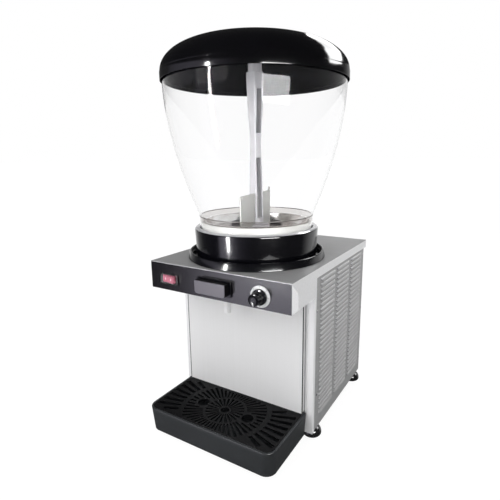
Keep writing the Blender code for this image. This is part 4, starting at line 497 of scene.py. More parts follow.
dress(TOP_STEEL, "top_cover")
dress(SHADED_SIDE_STEEL, "side_panel_left", "side_panel_right", "back_panel", "head_underside")
dress(COLUMN_STEEL, "front_frame_left", "front_frame_right")
dress(SPLASH_STEEL, "splash_panel")
dress(FASCIA, "fascia")
dress(ZINC, "base_pan", "motor_bracket", "mixer_motor", "fan_shroud", "fan_motor")
dress(ALUMINIUM, "condenser")
dress(ENAMEL, "compressor")
dress(BLACK, "tap_valve", "thermostat_body", "condenser_fan", "cable_gland")
dress(GLOSS, "button_guide", "switch_frame")
dress(ROD, "agitator_rod")
dress(MAGNET, "drive_magnet")
dress(GRID, "drip_grid")
dress(BUTTON, "push_button")
dress(RED, "switch_rocker")
dress(CLEAR_COVER, "switch_cover", "outlet_tube")

SOFT_EDGES = {
    0.0007: ("push_button",),
    0.0004: ("top_cover", "fascia", "front_frame_left", "front_frame_right", "splash_panel", "back_panel"),
    0.00035: ("button_guide", "switch_frame", "switch_cover", "switch_rocker", "drip_grid", "head_underside"),
    0.0003: ("base_pan",),
}
for width, names in SOFT_EDGES.items():
    for name in names:
        soften(name, width)


def return_spring():
    """The button's coil, copied from its node as a piece of its own."""
    bm = bmesh.new()
    bm.from_mesh(NODES["button_spring"].data)
    spring = finish_piece("return_spring", bm, "cabinet", BRIGHT_STEEL, ("button_spring",))
    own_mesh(spring)


return_spring()


# Bowl, lid and what carries them


def bowl_shell():
    """The clear bowl as one smooth turned wall with a rounded rim."""
    neck, rim, wall = 0.103, 0.1574, 0.0026
    low, start, end = 0.0500, 0.0762, 0.309
    belly = start + 0.562 * (end - start)
    outer = [(neck, low), (neck, (low + start) / 2)]
    steps = 44
    for step in range(steps + 1):
        share = step / steps
        rest = 1 - share
        radius = rest * rest * neck + (1 - rest * rest) * rim
        height = rest * rest * start + 2 * rest * share * belly + share * share * end
        outer.append((radius, height))
    inner = []
    for index, (radius, height) in enumerate(outer):
        before = Vector(outer[max(index - 1, 0)])
        after = Vector(outer[min(index + 1, len(outer) - 1)])
        way = (after - before).normalized()
        inner.append((radius - way.y * wall, height + way.x * wall))
    edge = wall * 0.3
    outer[-1] = (rim, end - edge)
    inner[-1] = (rim - wall, end - edge)
    crown = [(rim - edge, end), (rim - wall + edge, end)]
    profile = outer + crown + inner[::-1]
    bowl = turned_piece("bowl_shell", profile, "bowl", CLEAR_BOWL, ["bowl"])
    bowl.visible_shadow = False


CROWN_FLATNESS = 3.27


def dome_path(radius, low, top, steps):
    """A flat-crowned dome's side from its base up to the axis."""
    path = []
    for step in range(steps + 1):
        share = math.cos(math.pi / 2 * step / steps) if step < steps else 0
        path.append((radius * share, low + (top - low) * math.sqrt(1 - share**CROWN_FLATNESS)))
    return path


def lid_shell():
    """The lid's dome with its band, its foot, and the ledge that sits on the bowl's rim."""
    radius, wall, shoulder, top = 0.1606, 0.0025, 0.3167, 0.370
    rim, seat = 0.309, 0.3093
    skirt_in = 0.1584
    ledge = skirt_in - 0.004
    outer = dome_path(radius - 0.0006, shoulder, top, 40)[::-1]
    band = [(radius - 0.0006, shoulder - 0.0002), (radius - 0.0001, shoulder - 0.0006)]
    band.append((radius, shoulder - 0.0012))
    low = rim - 0.006
    foot = fillet([(radius, 0.308), (radius, low), (skirt_in, low), (skirt_in, 0.3075)], 0.0003)
    profile = outer + band + foot
    profile += [(skirt_in, seat), (ledge, seat)]
    profile += [(ledge, seat + wall - 0.0008), (ledge + 0.0008, seat + wall)]
    profile += [(radius - wall, seat + wall)] + dome_path(radius - wall, shoulder, top - wall, 32)
    turned_piece("lid_shell", profile, "lid", LID_GLOSS, ["lid"])
    boss = [(0.017, 0.3665), (0.017, 0.3456), (0.0166, 0.345)]
    boss += [(0.0146, 0.345), (0.014, 0.3456), (0.014, 0.3665)]
    turned_piece("lid_boss_tube", boss, "lid", BLACK, ["lid_boss"], 64)


def collar_shell():
    shoulder = []
    steps = 8
    for step in range(steps + 1):
        turn = math.pi / 2 * step / steps
        shoulder.append((0.1085 + 0.0045 * math.cos(turn), 0.0515 + 0.0045 * math.sin(turn)))
    profile = [(0.1105, 0.0030)] + shoulder
    profile += [(0.1048, 0.0560), (0.1040, 0.0552), (0.1040, 0.0497), (0.0962, 0.0497)]
    profile += [(0.0962, 0.0472), (0.1105, 0.0472), (0.1080, 0.0030)]
    turned_piece("collar_shell", profile, "cabinet", COLLAR, ["collar"])


def ring_shell():
    profile = [(0.1045, 0.0003), (0.1259, 0.0003), (0.1267, 0.0011), (0.1235, 0.0122), (0.1232, 0.0127)]
    profile += [(0.1227, 0.0130), (0.1215, 0.0130), (0.1210, 0.0127), (0.1208, 0.0122)]
    profile += [(0.1236, 0.0036), (0.1228, 0.0027), (0.1045, 0.0027)]
    turned_piece("ring_shell", profile, "cabinet", GLOSS, ["drip_ring"])


def dish_shell():
    """The cooled dish, its rolled rim, its skirt and its drive pin."""
    top = [(0.0805, 0.052), (0.084, 0.0524), (0.0862, 0.0545), (0.0903, 0.0655), (0.0912, 0.0669)]
    top += [(0.0925, 0.0673), (0.0945, 0.0670), (0.0955, 0.0658), (0.0955, 0.0022), (0.0962, 0.0018)]
    top.append((0.104, 0.0018))
    under = [(0.104, 0.0003), (0.0942, 0.0003), (0.0940, 0.0652), (0.0925, 0.0657), (0.0915, 0.0650)]
    under += [(0.0875, 0.0535), (0.0845, 0.0506), (0, 0.0505)]
    pin = [(0, 0.060), (0.003, 0.060), (0.0037, 0.0597), (0.004, 0.059), (0.004, 0.0528), (0.0048, 0.052)]
    flat = [(0.012, 0.052), (0.03, 0.052), (0.05, 0.052), (0.07, 0.052)]
    profile = pin + flat + top + under
    plate = ["evaporator_plate"]
    dish = turned_piece("dish_shell", profile, "cabinet", DISH_STEEL, plate, 128)
    drill = bmesh.new()
    hole = (0, BOWL[1] - 0.0785, DECK + 0.052)
    turned(drill, [(0, -0.004), (0.0038, -0.004), (0.0038, 0.004), (0, 0.004)], 24, hole)
    bmesh.ops.recalc_face_normals(drill, faces=drill.faces)
    carve(dish, drill)


def carve(piece, bm):
    """Cuts a helper solid from a piece at once and throws the helper away."""
    mesh = bpy.data.meshes.new("helper")
    bm.to_mesh(mesh)
    bm.free()
    helper = bpy.data.objects.new("helper", mesh)
    bpy.context.scene.collection.objects.link(helper)
    cut = piece.modifiers.new("cut", "BOOLEAN")
    cut.operation = "DIFFERENCE"
    cut.solver = "EXACT"
    cut.object = helper
    bpy.context.view_layer.update()
    graph = bpy.context.evaluated_depsgraph_get()
    carved = bpy.data.meshes.new_from_object(piece.evaluated_get(graph))
    old = piece.data
    piece.modifiers.remove(cut)
    piece.data = carved
    piece.data.name = piece.name
    bpy.data.meshes.remove(old)
    bpy.data.objects.remove(helper, do_unlink=True)
    piece.data.set_sharp_from_angle(angle=SHARP_ANGLE)


def neck_bead():
    """The moulded ring where the bowl's neck turns into its flare, coloured dark as painted shade along the
    crease.
    """
    profile = []
    sides = 8
    for side in range(sides):
        turn = math.tau * side / sides
        profile.append((0.1032 + 0.0006 * math.cos(turn), 0.0762 + 0.0008 * math.sin(turn)))
    turned_piece("neck_bead", profile, "bowl", BEAD)


def gasket_shell():
    profile = [(0.0958, 0.0500), (0.1001, 0.0500), (0.1001, 0.0652), (0.0998, 0.0658), (0.0990, 0.0661)]
    profile += [(0.0972, 0.0659), (0.0958, 0.0652)]
    turned_piece("gasket_shell", profile, "cabinet", GASKET, ["bowl_gasket"])


bowl_shell()
lid_shell()
collar_shell()
ring_shell()
dish_shell()
gasket_shell()
neck_bead()


# Agitator

COLUMN_TURN = math.radians(-16)
PADDLE_TURN = math.radians(10.4)
COLUMN_WINDOWS = ((0.04, 0.46), (0.62, 0.9))


def eased(pairs, share):
    """A value between the pairs of (share, value), eased from each to the next."""
    for (start, first), (end, second) in zip(pairs, pairs[1:]):
        if share <= end:
            part = (share - start) / (end - start)
            part = part * part * (3 - 2 * part)
            return first + (second - first) * part
    return pairs[-1][1]


def stirrer_shell():
    """Hub, paddle, waisted column with its windows, and neck."""
    foot = 0.0523
    column_low, column_high = foot + 0.003, 0.321
    shares = [(0, 0.86), (0.21, 0.82), (0.55, 0.66), (0.86, 0.94), (0.95, 1), (1, 1)]
    side, flat_share = 0.0226, 0.86
    window_floor, window_half = -0.00384, 0.00565
    turn = Matrix.Translation(BOWL) @ Matrix.Rotation(COLUMN_TURN, 4, "Z")
    bm = bmesh.new()
    sections = []
    steps = 40
    for step in range(steps + 1):
        share = step / steps
        half = side * eased(shares, share) / 2
        flat = half * flat_share
        height = column_low + share * (column_high - column_low)
        corners = [(half, flat), (flat, half), (-flat, half), (-half, flat)]
        corners += [(-half, -flat), (-flat, -half), (flat, -half), (half, -flat)]
        sections.append([turn @ Vector((x, y, height)) for x, y in corners])
    loft(bm, sections)
    column = finish_piece("stirrer_column", bm, "agitator", STIRRER)
    for low, high in COLUMN_WINDOWS:
        tool = bmesh.new()
        heights = [column_low + share * (column_high - column_low) for share in (low, high)]
        box(tool, (window_floor, side), (-window_half, window_half), heights, turn)
        bmesh.ops.recalc_face_normals(tool, faces=tool.faces)
        carve(column, tool)
    add_bevel(column, 0.0004)

    bm = bmesh.new()
    top = foot + 0.006
    hub = [(0.0045, foot), (0.024, foot), (0.024, top), (0.0117, top + 0.0012), (0.0116, top + 0.012)]
    turned(bm, fillet(hub, 0.0012) + [(0.0045, top + 0.012)], 64, BOWL)
    neck = [(0.0, 0.352), (0.0118, 0.352), (0.0118, 0.3205), (0.0128, 0.3195), (0.0128, 0.318), (0.0, 0.318)]
    turned(bm, fillet(neck, 0.0008), 48, BOWL)
    finish_piece("stirrer_hub", bm, "agitator", STIRRER, ["agitator"])

    bm = bmesh.new()
    reach, tip, paddle_top = 0.07385, 0.1215, 0.1145
    outline = [(-reach, foot, 0.001), (reach, foot, 0.001), (reach, tip - 0.00175, 0.001)]
    outline += [(reach - 0.0035, tip, 0.001), (reach - 0.007, paddle_top, 0.001), (-reach, paddle_top, 0.002)]
    place = Matrix.Translation(BOWL) @ Matrix.Rotation(PADDLE_TURN, 4, "Z")
    loft(bm, [[place @ Vector((x, y, z)) for y, z in rounded(outline, 4)] for x in (-0.0015, 0.0015)])
    finish_piece("stirrer_paddle", bm, "agitator", SHADED_PADDLE, bevel=0.0004)


stirrer_shell()


# Tap, switch and dial

DIAL_RANGE = 270
TICKS, TICKS_TO_A_NUMBER = 24, 4
TICK_HALF, TICK_END, LONG_TICK, SHORT_TICK = 0.00016, 0.0143, 0.0132, 0.0136
NUMBER_SIZE, NUMBER_RING = 0.0028, 0.0158
ROCKER_REST = math.radians(-8)


def spout_shell():
    low, high = DECK - 0.0825, DECK - 0.0476
    profile = [(0.0045, low), (0.0055, low), (0.0061, low + 0.0003), (0.0063, low + 0.001)]
    profile += [(0.0063, high), (0.0045, high)]
    turned_piece("spout_shell", profile, "cabinet", WHITE, ["spout"], 48, (0, TAP_Y, 0))


def dial_shell():
    """The white dial with its printed ticks and plain numbers."""
    bm = bmesh.new()
    profile = [(0.0040, 0.0003), (0.0175, 0.0003), (0.0175, 0.0013), (0.0173, 0.0016), (0.0170, 0.0018)]
    profile.append((0.0040, 0.0018))
    turned(bm, profile, 96, DIAL, FRONTWARD)
    finish_piece("dial_shell", bm, "cabinet", DIAL_WHITE, ["dial_plate"])
    bm = bmesh.new()
    for number in range(TICKS + 1):
        angle = math.radians(number * DIAL_RANGE / TICKS)
        place = Matrix.Translation(DIAL) @ Matrix.Rotation(angle, 4, "Y")
        start = SHORT_TICK if number % TICKS_TO_A_NUMBER else LONG_TICK
        box(bm, (-TICK_HALF, TICK_HALF), (-0.00187, -0.0015), (-TICK_END, -start), place)
    finish_piece("dial_ticks", bm, "cabinet", PRINT_AND_SHADOW)
    numbers = TICKS // TICKS_TO_A_NUMBER
    for number in range(numbers + 1):
        angle = math.radians(number * DIAL_RANGE / numbers)
        name = f"dial_number_{number}"
        curve = bpy.data.curves.new(name, "FONT")
        curve.body = str(number)
        curve.size = NUMBER_SIZE
        curve.align_x = "CENTER"
        curve.align_y = "CENTER"
        curve.extrude = 0.00006
        text = bpy.data.objects.new(name, curve)
        bpy.context.scene.collection.objects.link(text)
        spot = Vector((-math.sin(angle), 0, -math.cos(angle))) * NUMBER_RING
        text.location = Vector(DIAL) + spot + Vector((0, -0.00184, 0))
        text.rotation_euler = (math.pi / 2, 0, 0)
        curve.materials.append(PRINT_AND_SHADOW)
        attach(text, "cabinet")


def knob_shell():
    """The knob: a skirt, a fluted grip, a dished cap and a white pointer line."""
    bm = bmesh.new()
    low, sides, flutes, flute_depth = 0.0021, 144, 18, 0.00045
    skirt = [(0, -0.010), (0.003, -0.010), (0.003, low), (0.0125, low), (0.0128, low + 0.0003)]
    skirt += [(0.0128, low + 0.0034), (0.0125, low + 0.0040), (0.0115, low + 0.0045), (0, low + 0.0045)]
    turned(bm, skirt, 96, DIAL, FRONTWARD)
    sections = []
    heights = [0.0040, 0.0050, 0.0090, 0.0130, 0.0180, 0.0192, 0.0198, 0.0200]
    outs = [0.0108, 0.0104, 0.0102, 0.0100, 0.0098, 0.0096, 0.0092, 0.0084]
    place = Matrix.Translation(DIAL) @ FRONTWARD
    cap = [(0.0196, 0.0078), (0.0194, 0.0030)]
    for index, (height, out) in enumerate([*zip(heights, outs), *cap]):
        fluted = index < len(heights) and 0.0045 < height < 0.0195
        ring = []
        for side in range(sides):
            angle = math.tau * side / sides
            groove = flute_depth * (0.5 + 0.5 * math.cos(flutes * angle)) if fluted else 0
            across = out - groove
            point = (across * math.cos(angle), across * math.sin(angle), height + low - 0.0010)
            ring.append(place @ Vector(point))
        sections.append(ring)
    loft(bm, sections)
    finish_piece("dial_knob", bm, "knob", GLOSS, ["thermostat_knob"])
    bm = bmesh.new()
    box(bm, (-0.0010, 0.0010), (-0.0217, -0.0180), (-0.0094, -0.0012), None, DIAL)
    finish_piece("knob_pointer", bm, "knob", GLOSS, bevel=0.0002)
    bm = bmesh.new()
    box(bm, (-0.0004, 0.0004), (-0.02182, -0.0190), (-0.0088, -0.0040), None, DIAL)
    finish_piece("knob_line", bm, "knob", MARK)


def switch_marks():
    """The plain bar and ring on the rocker's two ends."""
    middle = Matrix.Translation((SWITCH[0], FACE + 0.0025, SWITCH[2]))
    tilt = middle @ Matrix.Rotation(ROCKER_REST, 4, "Z")
    bm = bmesh.new()
    slope = math.atan2(0.0014, 0.0124)
    right = tilt @ Matrix.Translation((0.0068, -0.00683, 0)) @ Matrix.Rotation(-slope, 4, "Z")
    left = tilt @ Matrix.Translation((-0.0068, -0.00683, 0)) @ Matrix.Rotation(slope, 4, "Z")
    box(bm, (-0.0004, 0.0004), (-0.0001, 0.0002), (-0.0018, 0.0018), left)
    ring = [(0.0012, -0.0002), (0.0018, -0.0002), (0.0018, 0.0001), (0.0012, 0.0001)]
    turned(bm, ring, 32, turn=right @ FRONTWARD)
    finish_piece("switch_marks", bm, "rocker", MARK)


spout_shell()
dial_shell()
knob_shell()
switch_marks()


# Tray and feet

WELL_MIDDLE = 0.018
FRONT_FEET, BACK_FEET, FEET_OUT = 0.111, 0.330, 0.128


def tray_section(drawn_in, back, height):
    """The tray's outline, measured from the face, with round front corners."""
    half = 0.129 - drawn_in
    front = -0.042 + drawn_in
    corners = [(-half, back, 0.003), (-half, front, 0.018), (half, front, 0.018), (half, back, 0.003)]
    return [(x, y + FACE, height) for x, y in rounded(corners)]


def well_section(drawn_in, height):
    """The outline of the well that the grid lies in."""
    half = 0.1245 - drawn_in
    front = -0.0375 + drawn_in
    back = 0.074 - drawn_in
    corners = [(-half, back, 0.003), (-half, front, 0.0135), (half, front, 0.0135), (half, back, 0.003)]
    return [(x, y + FACE, height) for x, y in rounded(corners)]


def narrowed(section, across, along, height):
    """A section drawn in towards the well's middle, at another height."""
    drawn = []
    for x, y, _ in section:
        drawn.append((x * across, (y - FACE - WELL_MIDDLE) * along + WELL_MIDDLE + FACE, height))
    return drawn


def tray_shell():
    """The tray as one loft: up its outside, over its rim and down into the well."""
    sections = [tray_section(0.0038, 0.0836, 0.012), tray_section(0.0030, 0.0844, 0.0128)]
    steps = 7
    for step in range(1, steps):
        share = step / steps
        sections.append(tray_section(0.003 * (1 - share), 0.0844, 0.012 + 0.044 * share))
    sections += [tray_section(0.0, 0.0844, 0.0560), tray_section(0.0003, 0.0841, 0.0567)]
    sections.append(tray_section(0.0009, 0.0835, 0.0570))
    sections += [well_section(-0.0009, 0.0570), well_section(-0.0005, 0.0566), well_section(-0.0005, 0.0537)]
    sections += [well_section(0.0030, 0.0537), well_section(0.0036, 0.0530)]
    low = narrowed(well_section(0.0036, 0), 0.975, 0.96, 0.0158)
    sections += [low, narrowed(low, 0.98, 0.97, 0.0150)]
    bm = bmesh.new()
    loft(bm, sections)
    finish_piece("tray_shell", bm, "tray", TRAY, ["drip_tray"])


def foot_shells():
    """Four rubber feet, each with its stud."""
    radius, high, stud = 0.0175, 0.0167, 0.0035
    curve = [(0.995, 0.35), (0.975, 0.48), (0.94, 0.6), (0.88, 0.72), (0.79, 0.83), (0.68, 0.92)]
    curve += [(0.56, 0.98), (0.46, 1)]
    profile = [(0, 0), (0.0145, 0), (0.0158, 0.0004), (0.0170, 0.0018), (radius, 0.0036)]
    profile += [(radius * share, high * up) for share, up in curve]
    profile += [(stud, high), (stud, high + 0.006), (0, high + 0.006)]
    for end, y in (("front", FRONT_FEET), ("back", BACK_FEET)):
        for hand, x in (("left", -FEET_OUT), ("right", FEET_OUT)):
            centre = (x, y + FACE, 0)
            pad, node = f"foot_pad_{end}_{hand}", f"foot_{end}_{hand}"
            turned_piece(pad, profile, "cabinet", RUBBER, [node], 64, centre)


tray_shell()
foot_shells()


# Pressed louvres, screws and painted shadow strips

LOUVRE_COLUMNS, LOUVRE_ROWS = 3, 29
LOUVRE_LENGTH, COLUMN_PITCH, ROW_PITCH = 0.0672, 0.0765, 0.009
LOUVRE_START, LOUVRE_TOP = 0.1119, DECK - 0.025


def hood(bm, side, middle, start):
    """One pressed louvre: a sheet that bulges out over its slot and opens downwards."""
    top = 0.0026
    section = [(0.0, top), (0.0007, 0.0021), (0.0016, 0.0008), (0.0023, -0.0008), (0.0025, -0.0024)]
    section += [(0.0020, -0.0024), (0.0017, -0.0008), (0.0010, 0.0004), (-0.0003, 0.0008)]
    ends = [(0, 0.04), (0.0012, 0.45), (0.0028, 0.75), (0.0050, 0.94), (0.0080, 1.0)]
    stations = ends + [(LOUVRE_LENGTH - at, size) for at, size in ends[::-1]]
    sections = []
    for at, size in stations:
        points = []
        for out, up in section:
            x = side * (SIDE_FACE + out * size)
            z = middle + top + (up - top) * (0.35 + 0.65 * size)
            points.append((x, start + at + FACE, z))
        sections.append(points)
    loft(bm, sections)


def louvres(name, side):
    bm = bmesh.new()
    for column in range(LOUVRE_COLUMNS):
        start = LOUVRE_START + column * COLUMN_PITCH
        for row in range(LOUVRE_ROWS):
            hood(bm, side, LOUVRE_TOP - row * ROW_PITCH, start)
    finish_piece(name, bm, "cabinet", SHADED_SIDE_STEEL)


def screw(bm, centre, normal):
    """A low-headed screw with a round recess."""
    turn = Vector((0, 0, 1)).rotation_difference(Vector(normal)).to_matrix().to_4x4()
    radius = 0.0024
    high = radius * 0.42
    profile = [(0, -0.0002), (radius, -0.0002), (radius, high * 0.35), (radius * 0.8, high * 0.8)]
    profile += [(radius * 0.45, high), (radius * 0.3, high * 0.9), (radius * 0.26, high * 0.45)]
    profile.append((0, high * 0.4))
    turned(bm, profile, 20, centre, turn)


def screws():
    bm = bmesh.new()
    for side in (-1, 1):
        front = [(0.104, -0.0085), (0.0985, -0.076), (0.104, -0.234)]
        back = [(0.345, -0.030), (0.345, -0.150), (0.345, -0.270)]
        for y, z in front + back:
            screw(bm, (side * SIDE_FACE, y + FACE, DECK + z), (side, 0, 0))
        for z in (-0.045, -0.165, -0.285):
            screw(bm, (side * 0.128, 0.350 + FACE, DECK + z), (0, 1, 0))
    finish_piece("screws", bm, "cabinet", BRIGHT_STEEL)


def seams():
    """Painted shadow strips: dark strips for the shaded steps between columns and side panels, and beside the
    splash panel.
    """
    bm = bmesh.new()
    for side in (-1, 1):
        outer = sorted((side * 0.1384, side * 0.1388))
        box(bm, outer, (0.0926 + FACE, 0.0942 + FACE), (0.0175, DECK - 0.0165))
        beside = sorted((side * 0.1233, side * 0.1249))
        box(bm, beside, (0.0754 + FACE, 0.0768 + FACE), (0.0585, 0.2695))
    finish_piece("seams", bm, "cabinet", PRINT_AND_SHADOW)


def dish_plug():
    """The small dark plug in the floor of the dish."""
    profile = [(0, -0.0004), (0.0022, -0.0004), (0.0022, 0.0003), (0.0018, 0.0006), (0, 0.0006)]
    turned_piece("dish_plug", profile, "cabinet", BLACK, (), 24, (0.0472, 0.0196, 0.371))


louvres("louvres_left", -1)
louvres("louvres_right", 1)
screws()
seams()
dish_plug()


# Studio: a white floor, soft lamps, and walls that only reflections see

FLOOR_CENTRE = (-0.05, -0.1)
FLOOR_NEAR, FLOOR_FAR, FLOOR_SIDES = 1.2, 40, 96
WALL_RADIUS, CAP_RADIUS, PANEL_RADIUS = 2.3, 2.31, 2.28
PIT, WALL_MIDDLE, WALL_HIGH, CEILING = -1.0, 0.75, 1.2, 6.0
WHITE_GLOW = (1, 1, 1)
PURPLE_GLOW = (0.96, 0.92, 1.10)
PURPLE_HEADINGS = range(-60, 15)
FLOOR_LIFT, FLOOR_LIFT_SHARE = 1.12, 0.84
SKY_LIGHT = 0.60

# Headings are in degrees from the front, right positive. These are pairs of heading and glow.
LOW_GLOWS = [
    (-180, 1.0), (-120, 1.0), (-100, 0.40), (-80, 0.08), (-52, 0.02), (-41, 0.03), (-35, 1.40), (-31, 1.40),
    (-23, 1.70), (-14, 1.10), (0, 0.30), (14, 0.12), (24, 0.07), (120, 0.07), (140, 0.85), (180, 1.0),
]
MIDDLE_GLOWS = [
    (-180, 0.40), (-165, 0.80), (-150, 0.80), (-132, 0.10), (-105, 0.05), (-85, 0.08), (-60, 0.45),
    (-40, 0.70), (-24, 0.65), (0, 0.25), (15, 0.07), (150, 0.05), (180, 0.40),
]
HIGH_GLOWS = [(-180, 0.03), (180, 0.03)]

# The panel's heading, lower edge, upper edge and glow
PANEL_STOPS = [
    (123, 1.18, 1.30, 14), (125, 1.18, 1.60, 14), (128, 1.18, 1.95, 14), (135, 1.18, 2.43, 12),
    (150, 1.22, 2.75, 8), (158, 1.50, 2.92, 6), (166, 1.70, 3.00, 5), (180, 1.80, 2.92, 5),
    (188, 1.80, 2.70, 5), (194, 1.75, 2.30, 5), (199, 1.65, 1.85, 5),
]


def stage_object(name, bm, surface):
    mesh = bpy.data.meshes.new(name)
    bm.to_mesh(mesh)
    bm.free()
    mesh.shade_smooth()
    mesh.materials.append(surface)
    thing = bpy.data.objects.new(name, mesh)
    bpy.context.scene.collection.objects.link(thing)
    return thing


def floor_material():
    """White floor: the camera sees it lifted to the white background, with the shadow kept."""
    surface = Surface("studio_floor", (0.82, 0.82, 0.82), 0.8)
    surface.set("Specular IOR Level", 0.0)
    path = surface.node("LightPath").outputs
    lift = surface.node("Emission", {"Strength": FLOOR_LIFT})
    seen = surface.maths("MAXIMUM", path["Is Camera Ray"], path["Is Transmission Ray"])
    share = surface.maths("MULTIPLY", seen, FLOOR_LIFT_SHARE)
    inputs = {"Fac": share, 1: surface.shader.outputs["BSDF"], 2: lift.outputs["Emission"]}
    mix = surface.node("MixShader", inputs)
    surface.feed(surface.nodes["Material Output"].inputs["Surface"], mix.outputs["Shader"])
    return surface.material


def circle(radius, centre=(0, 0), z=0):
    angles = [math.tau * side / FLOOR_SIDES for side in range(FLOOR_SIDES)]
    return [(radius * math.cos(a) + centre[0], radius * math.sin(a) + centre[1], z) for a in angles]


def disc(sides, radius, centre):
    bm = bmesh.new()
    bmesh.ops.create_circle(bm, cap_ends=True, segments=sides, radius=radius)
    bmesh.ops.translate(bm, verts=bm.verts, vec=centre)
    return bm


def floor():
    """A disc under the part, and a wide ring round it."""
    surface = floor_material()
    near = disc(FLOOR_SIDES, FLOOR_NEAR, (*FLOOR_CENTRE, 0))
    far = bmesh.new()
    loft(far, [circle(FLOOR_NEAR, FLOOR_CENTRE), circle(FLOOR_FAR)], False)
    for name, bm in (("floor_near", near), ("floor_far", far)):
        stage_object(name, bm, surface).visible_glossy = False


def reflected_only(thing):
    thing.visible_camera = False
    thing.visible_diffuse = False
    thing.visible_transmission = False
    thing.visible_shadow = False


def glowing(name, strength=1.0, by_point=False):
    """A material that only glows, evenly or in the colours of the mesh's points."""
    made = bpy.data.materials.new(name)
    tree = Tree(made)
    tree.nodes.remove(tree.nodes["Principled BSDF"])
    light = tree.node("Emission", {"Color": WHITE_GLOW, "Strength": strength})
    if by_point:
        tree.feed(light.inputs["Color"], tree.node("Attribute", attribute_name="glow").outputs["Color"])
    tree.feed(tree.nodes["Material Output"].inputs["Surface"], light.outputs["Emission"])
    return made


def between(stops, heading):
    """The values at a heading, between those of the stops on its two sides."""
    for (start, *first), (end, *second) in zip(stops, stops[1:]):
        if start <= heading <= end:
            part = (heading - start) / (end - start)
            return [a + (b - a) * part for a, b in zip(first, second)]
    return stops[-1][1:]


def cloth(name, headings, radius, at, closed=False):
    """An upright cloth round the part, with a lower edge, an upper edge and a glow at each heading."""
    bm = bmesh.new()
    layer = bm.verts.layers.float_color.new("glow")
    columns = []
    for heading in headings:
        low, high, glow = at(heading)
        angle = math.radians(heading)
        column = [bm.verts.new((radius * math.sin(angle), -radius * math.cos(angle), z)) for z in (low, high)]
        for vert in column:
            vert[layer] = (*glow, 1)
        columns.append(column)
    pairs = list(zip(columns, columns[1:]))
    if closed:
        pairs.append((columns[-1], columns[0]))
    for (low, high), (next_low, next_high) in pairs:
        bm.faces.new((low, next_low, next_high, high))
    reflected_only(stage_object(name, bm, glowing(name, by_point=True)))


def wall(name, glows, low, high):
    """One storey of the round wall, purplish in front."""
    stops = []
    for heading, level in glows:
        tint = PURPLE_GLOW if heading in PURPLE_HEADINGS else WHITE_GLOW
        stops.append((heading, *(level * share for share in tint)))
    cloth(name, range(-180, 180), WALL_RADIUS, lambda heading: (low, high, between(stops, heading)), True)


def panel_at(heading):
    low, high, level = between(PANEL_STOPS, heading)
    return low, high, (level, level, level)


def studio():
    wall("studio_wall_low", LOW_GLOWS, PIT, WALL_MIDDLE)
    wall("studio_wall_middle", MIDDLE_GLOWS, WALL_MIDDLE, WALL_HIGH)
    wall("studio_wall_high", HIGH_GLOWS, WALL_HIGH, CEILING)
    panel_headings = range(PANEL_STOPS[0][0], PANEL_STOPS[-1][0] + 1, 2)
    cloth("studio_panel", panel_headings, PANEL_RADIUS, panel_at)
    for name, height, strength in (("studio_ceiling", CEILING, 0.03), ("studio_pit", PIT, 0.12)):
        cap = disc(64, CAP_RADIUS, (0, 0, height))
        reflected_only(stage_object(name, cap, glowing(f"{name}_glow", strength)))


def lamp(name, heading, elevation, distance, size, radiance, target, roll=0, **seen_in):
    """An area lamp at a heading from the front, turned to its target and rolled about that line."""
    data = bpy.data.lights.new(name, "AREA")
    data.shape = "RECTANGLE"
    width, height = size
    data.size, data.size_y = width, height
    data.energy = radiance * math.pi * width * height
    thing = bpy.data.objects.new(name, data)
    bpy.context.scene.collection.objects.link(thing)
    a, e = math.radians(heading), math.radians(elevation)
    way = Vector((math.sin(a) * math.cos(e), -math.cos(a) * math.cos(e), math.sin(e)))
    thing.location = Vector(target) + way * distance
    thing.rotation_mode = "QUATERNION"
    thing.rotation_quaternion = way.to_track_quat("Z", "Y") @ Quaternion((0, 0, 1), math.radians(roll))
    thing.visible_camera = False
    thing.visible_glossy = seen_in.get("glossy", True)
    thing.visible_diffuse = seen_in.get("diffuse", True)
    thing.visible_transmission = seen_in.get("through", False)


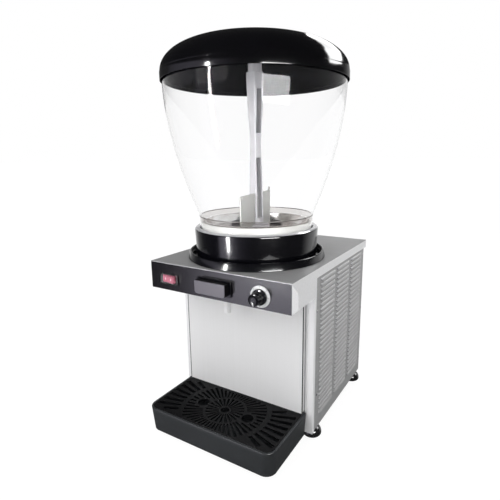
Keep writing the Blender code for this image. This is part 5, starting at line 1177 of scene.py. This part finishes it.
def lamps():
    """Two lamps that show as reflections only, and two that light the surfaces."""
    lamp("strip", -18.5, 0, 1.25, (0.08, 0.78), 110, (0, BOWL[1], 0.45), diffuse=False)
    lamp("window", 54, -1.8, 1.5, (0.84, 0.34), 46, (0, BOWL[1], 0.60), roll=-2, diffuse=False)
    lamp("key", -18, 30, 2.0, (1.4, 1.4), 2.5, (0, 0, 0.3), glossy=False, through=True)
    lamp("fill", 80, 35, 2.0, (1.2, 1.2), 0.9, (0, 0, 0.3), glossy=False)


def world():
    """White to the camera, in reflections and through the bowl, and dimmer as light on surfaces."""
    made = bpy.data.worlds.new("studio")
    bpy.context.scene.world = made
    tree = Tree(made)
    path = tree.node("LightPath").outputs
    seen = tree.maths("MAXIMUM", path["Is Camera Ray"], path["Is Transmission Ray"])
    seen = tree.maths("MAXIMUM", seen, path["Is Glossy Ray"])
    strength = tree.node("MapRange", {"Value": seen, "To Min": SKY_LIGHT, "To Max": 1.0})
    back = tree.nodes["Background"]
    tree.feed(back.inputs["Color"], (1, 1, 1))
    tree.feed(back.inputs["Strength"], strength.outputs["Result"])


def camera():
    """The photo's camera, as solved from the cabinet's edges and the rings."""
    data = bpy.data.cameras.new("camera")
    data.lens = 29.53
    data.sensor_width = 36
    data.shift_x = -0.0222
    data.shift_y = -0.0138
    data.clip_start = 0.01
    thing = bpy.data.objects.new("camera", data)
    bpy.context.scene.collection.objects.link(thing)
    azimuth, elevation, roll = math.radians(30.89), math.radians(12.1), math.radians(-0.48)
    flat = math.cos(elevation)
    forward = Vector((-math.sin(azimuth) * flat, math.cos(azimuth) * flat, -math.sin(elevation)))
    right = forward.cross(Vector((0, 0, 1))).normalized()
    up = right.cross(forward)
    across = right * math.cos(roll) + up * math.sin(roll)
    upward = up * math.cos(roll) - right * math.sin(roll)
    matrix = Matrix((across, upward, -forward)).transposed().to_4x4()
    matrix.translation = Vector((0.3926, -0.6664, 0.5007))
    thing.matrix_world = matrix
    bpy.context.scene.camera = thing


floor()
studio()
lamps()
world()
camera()
bpy.context.scene.view_settings.view_transform = "Standard"
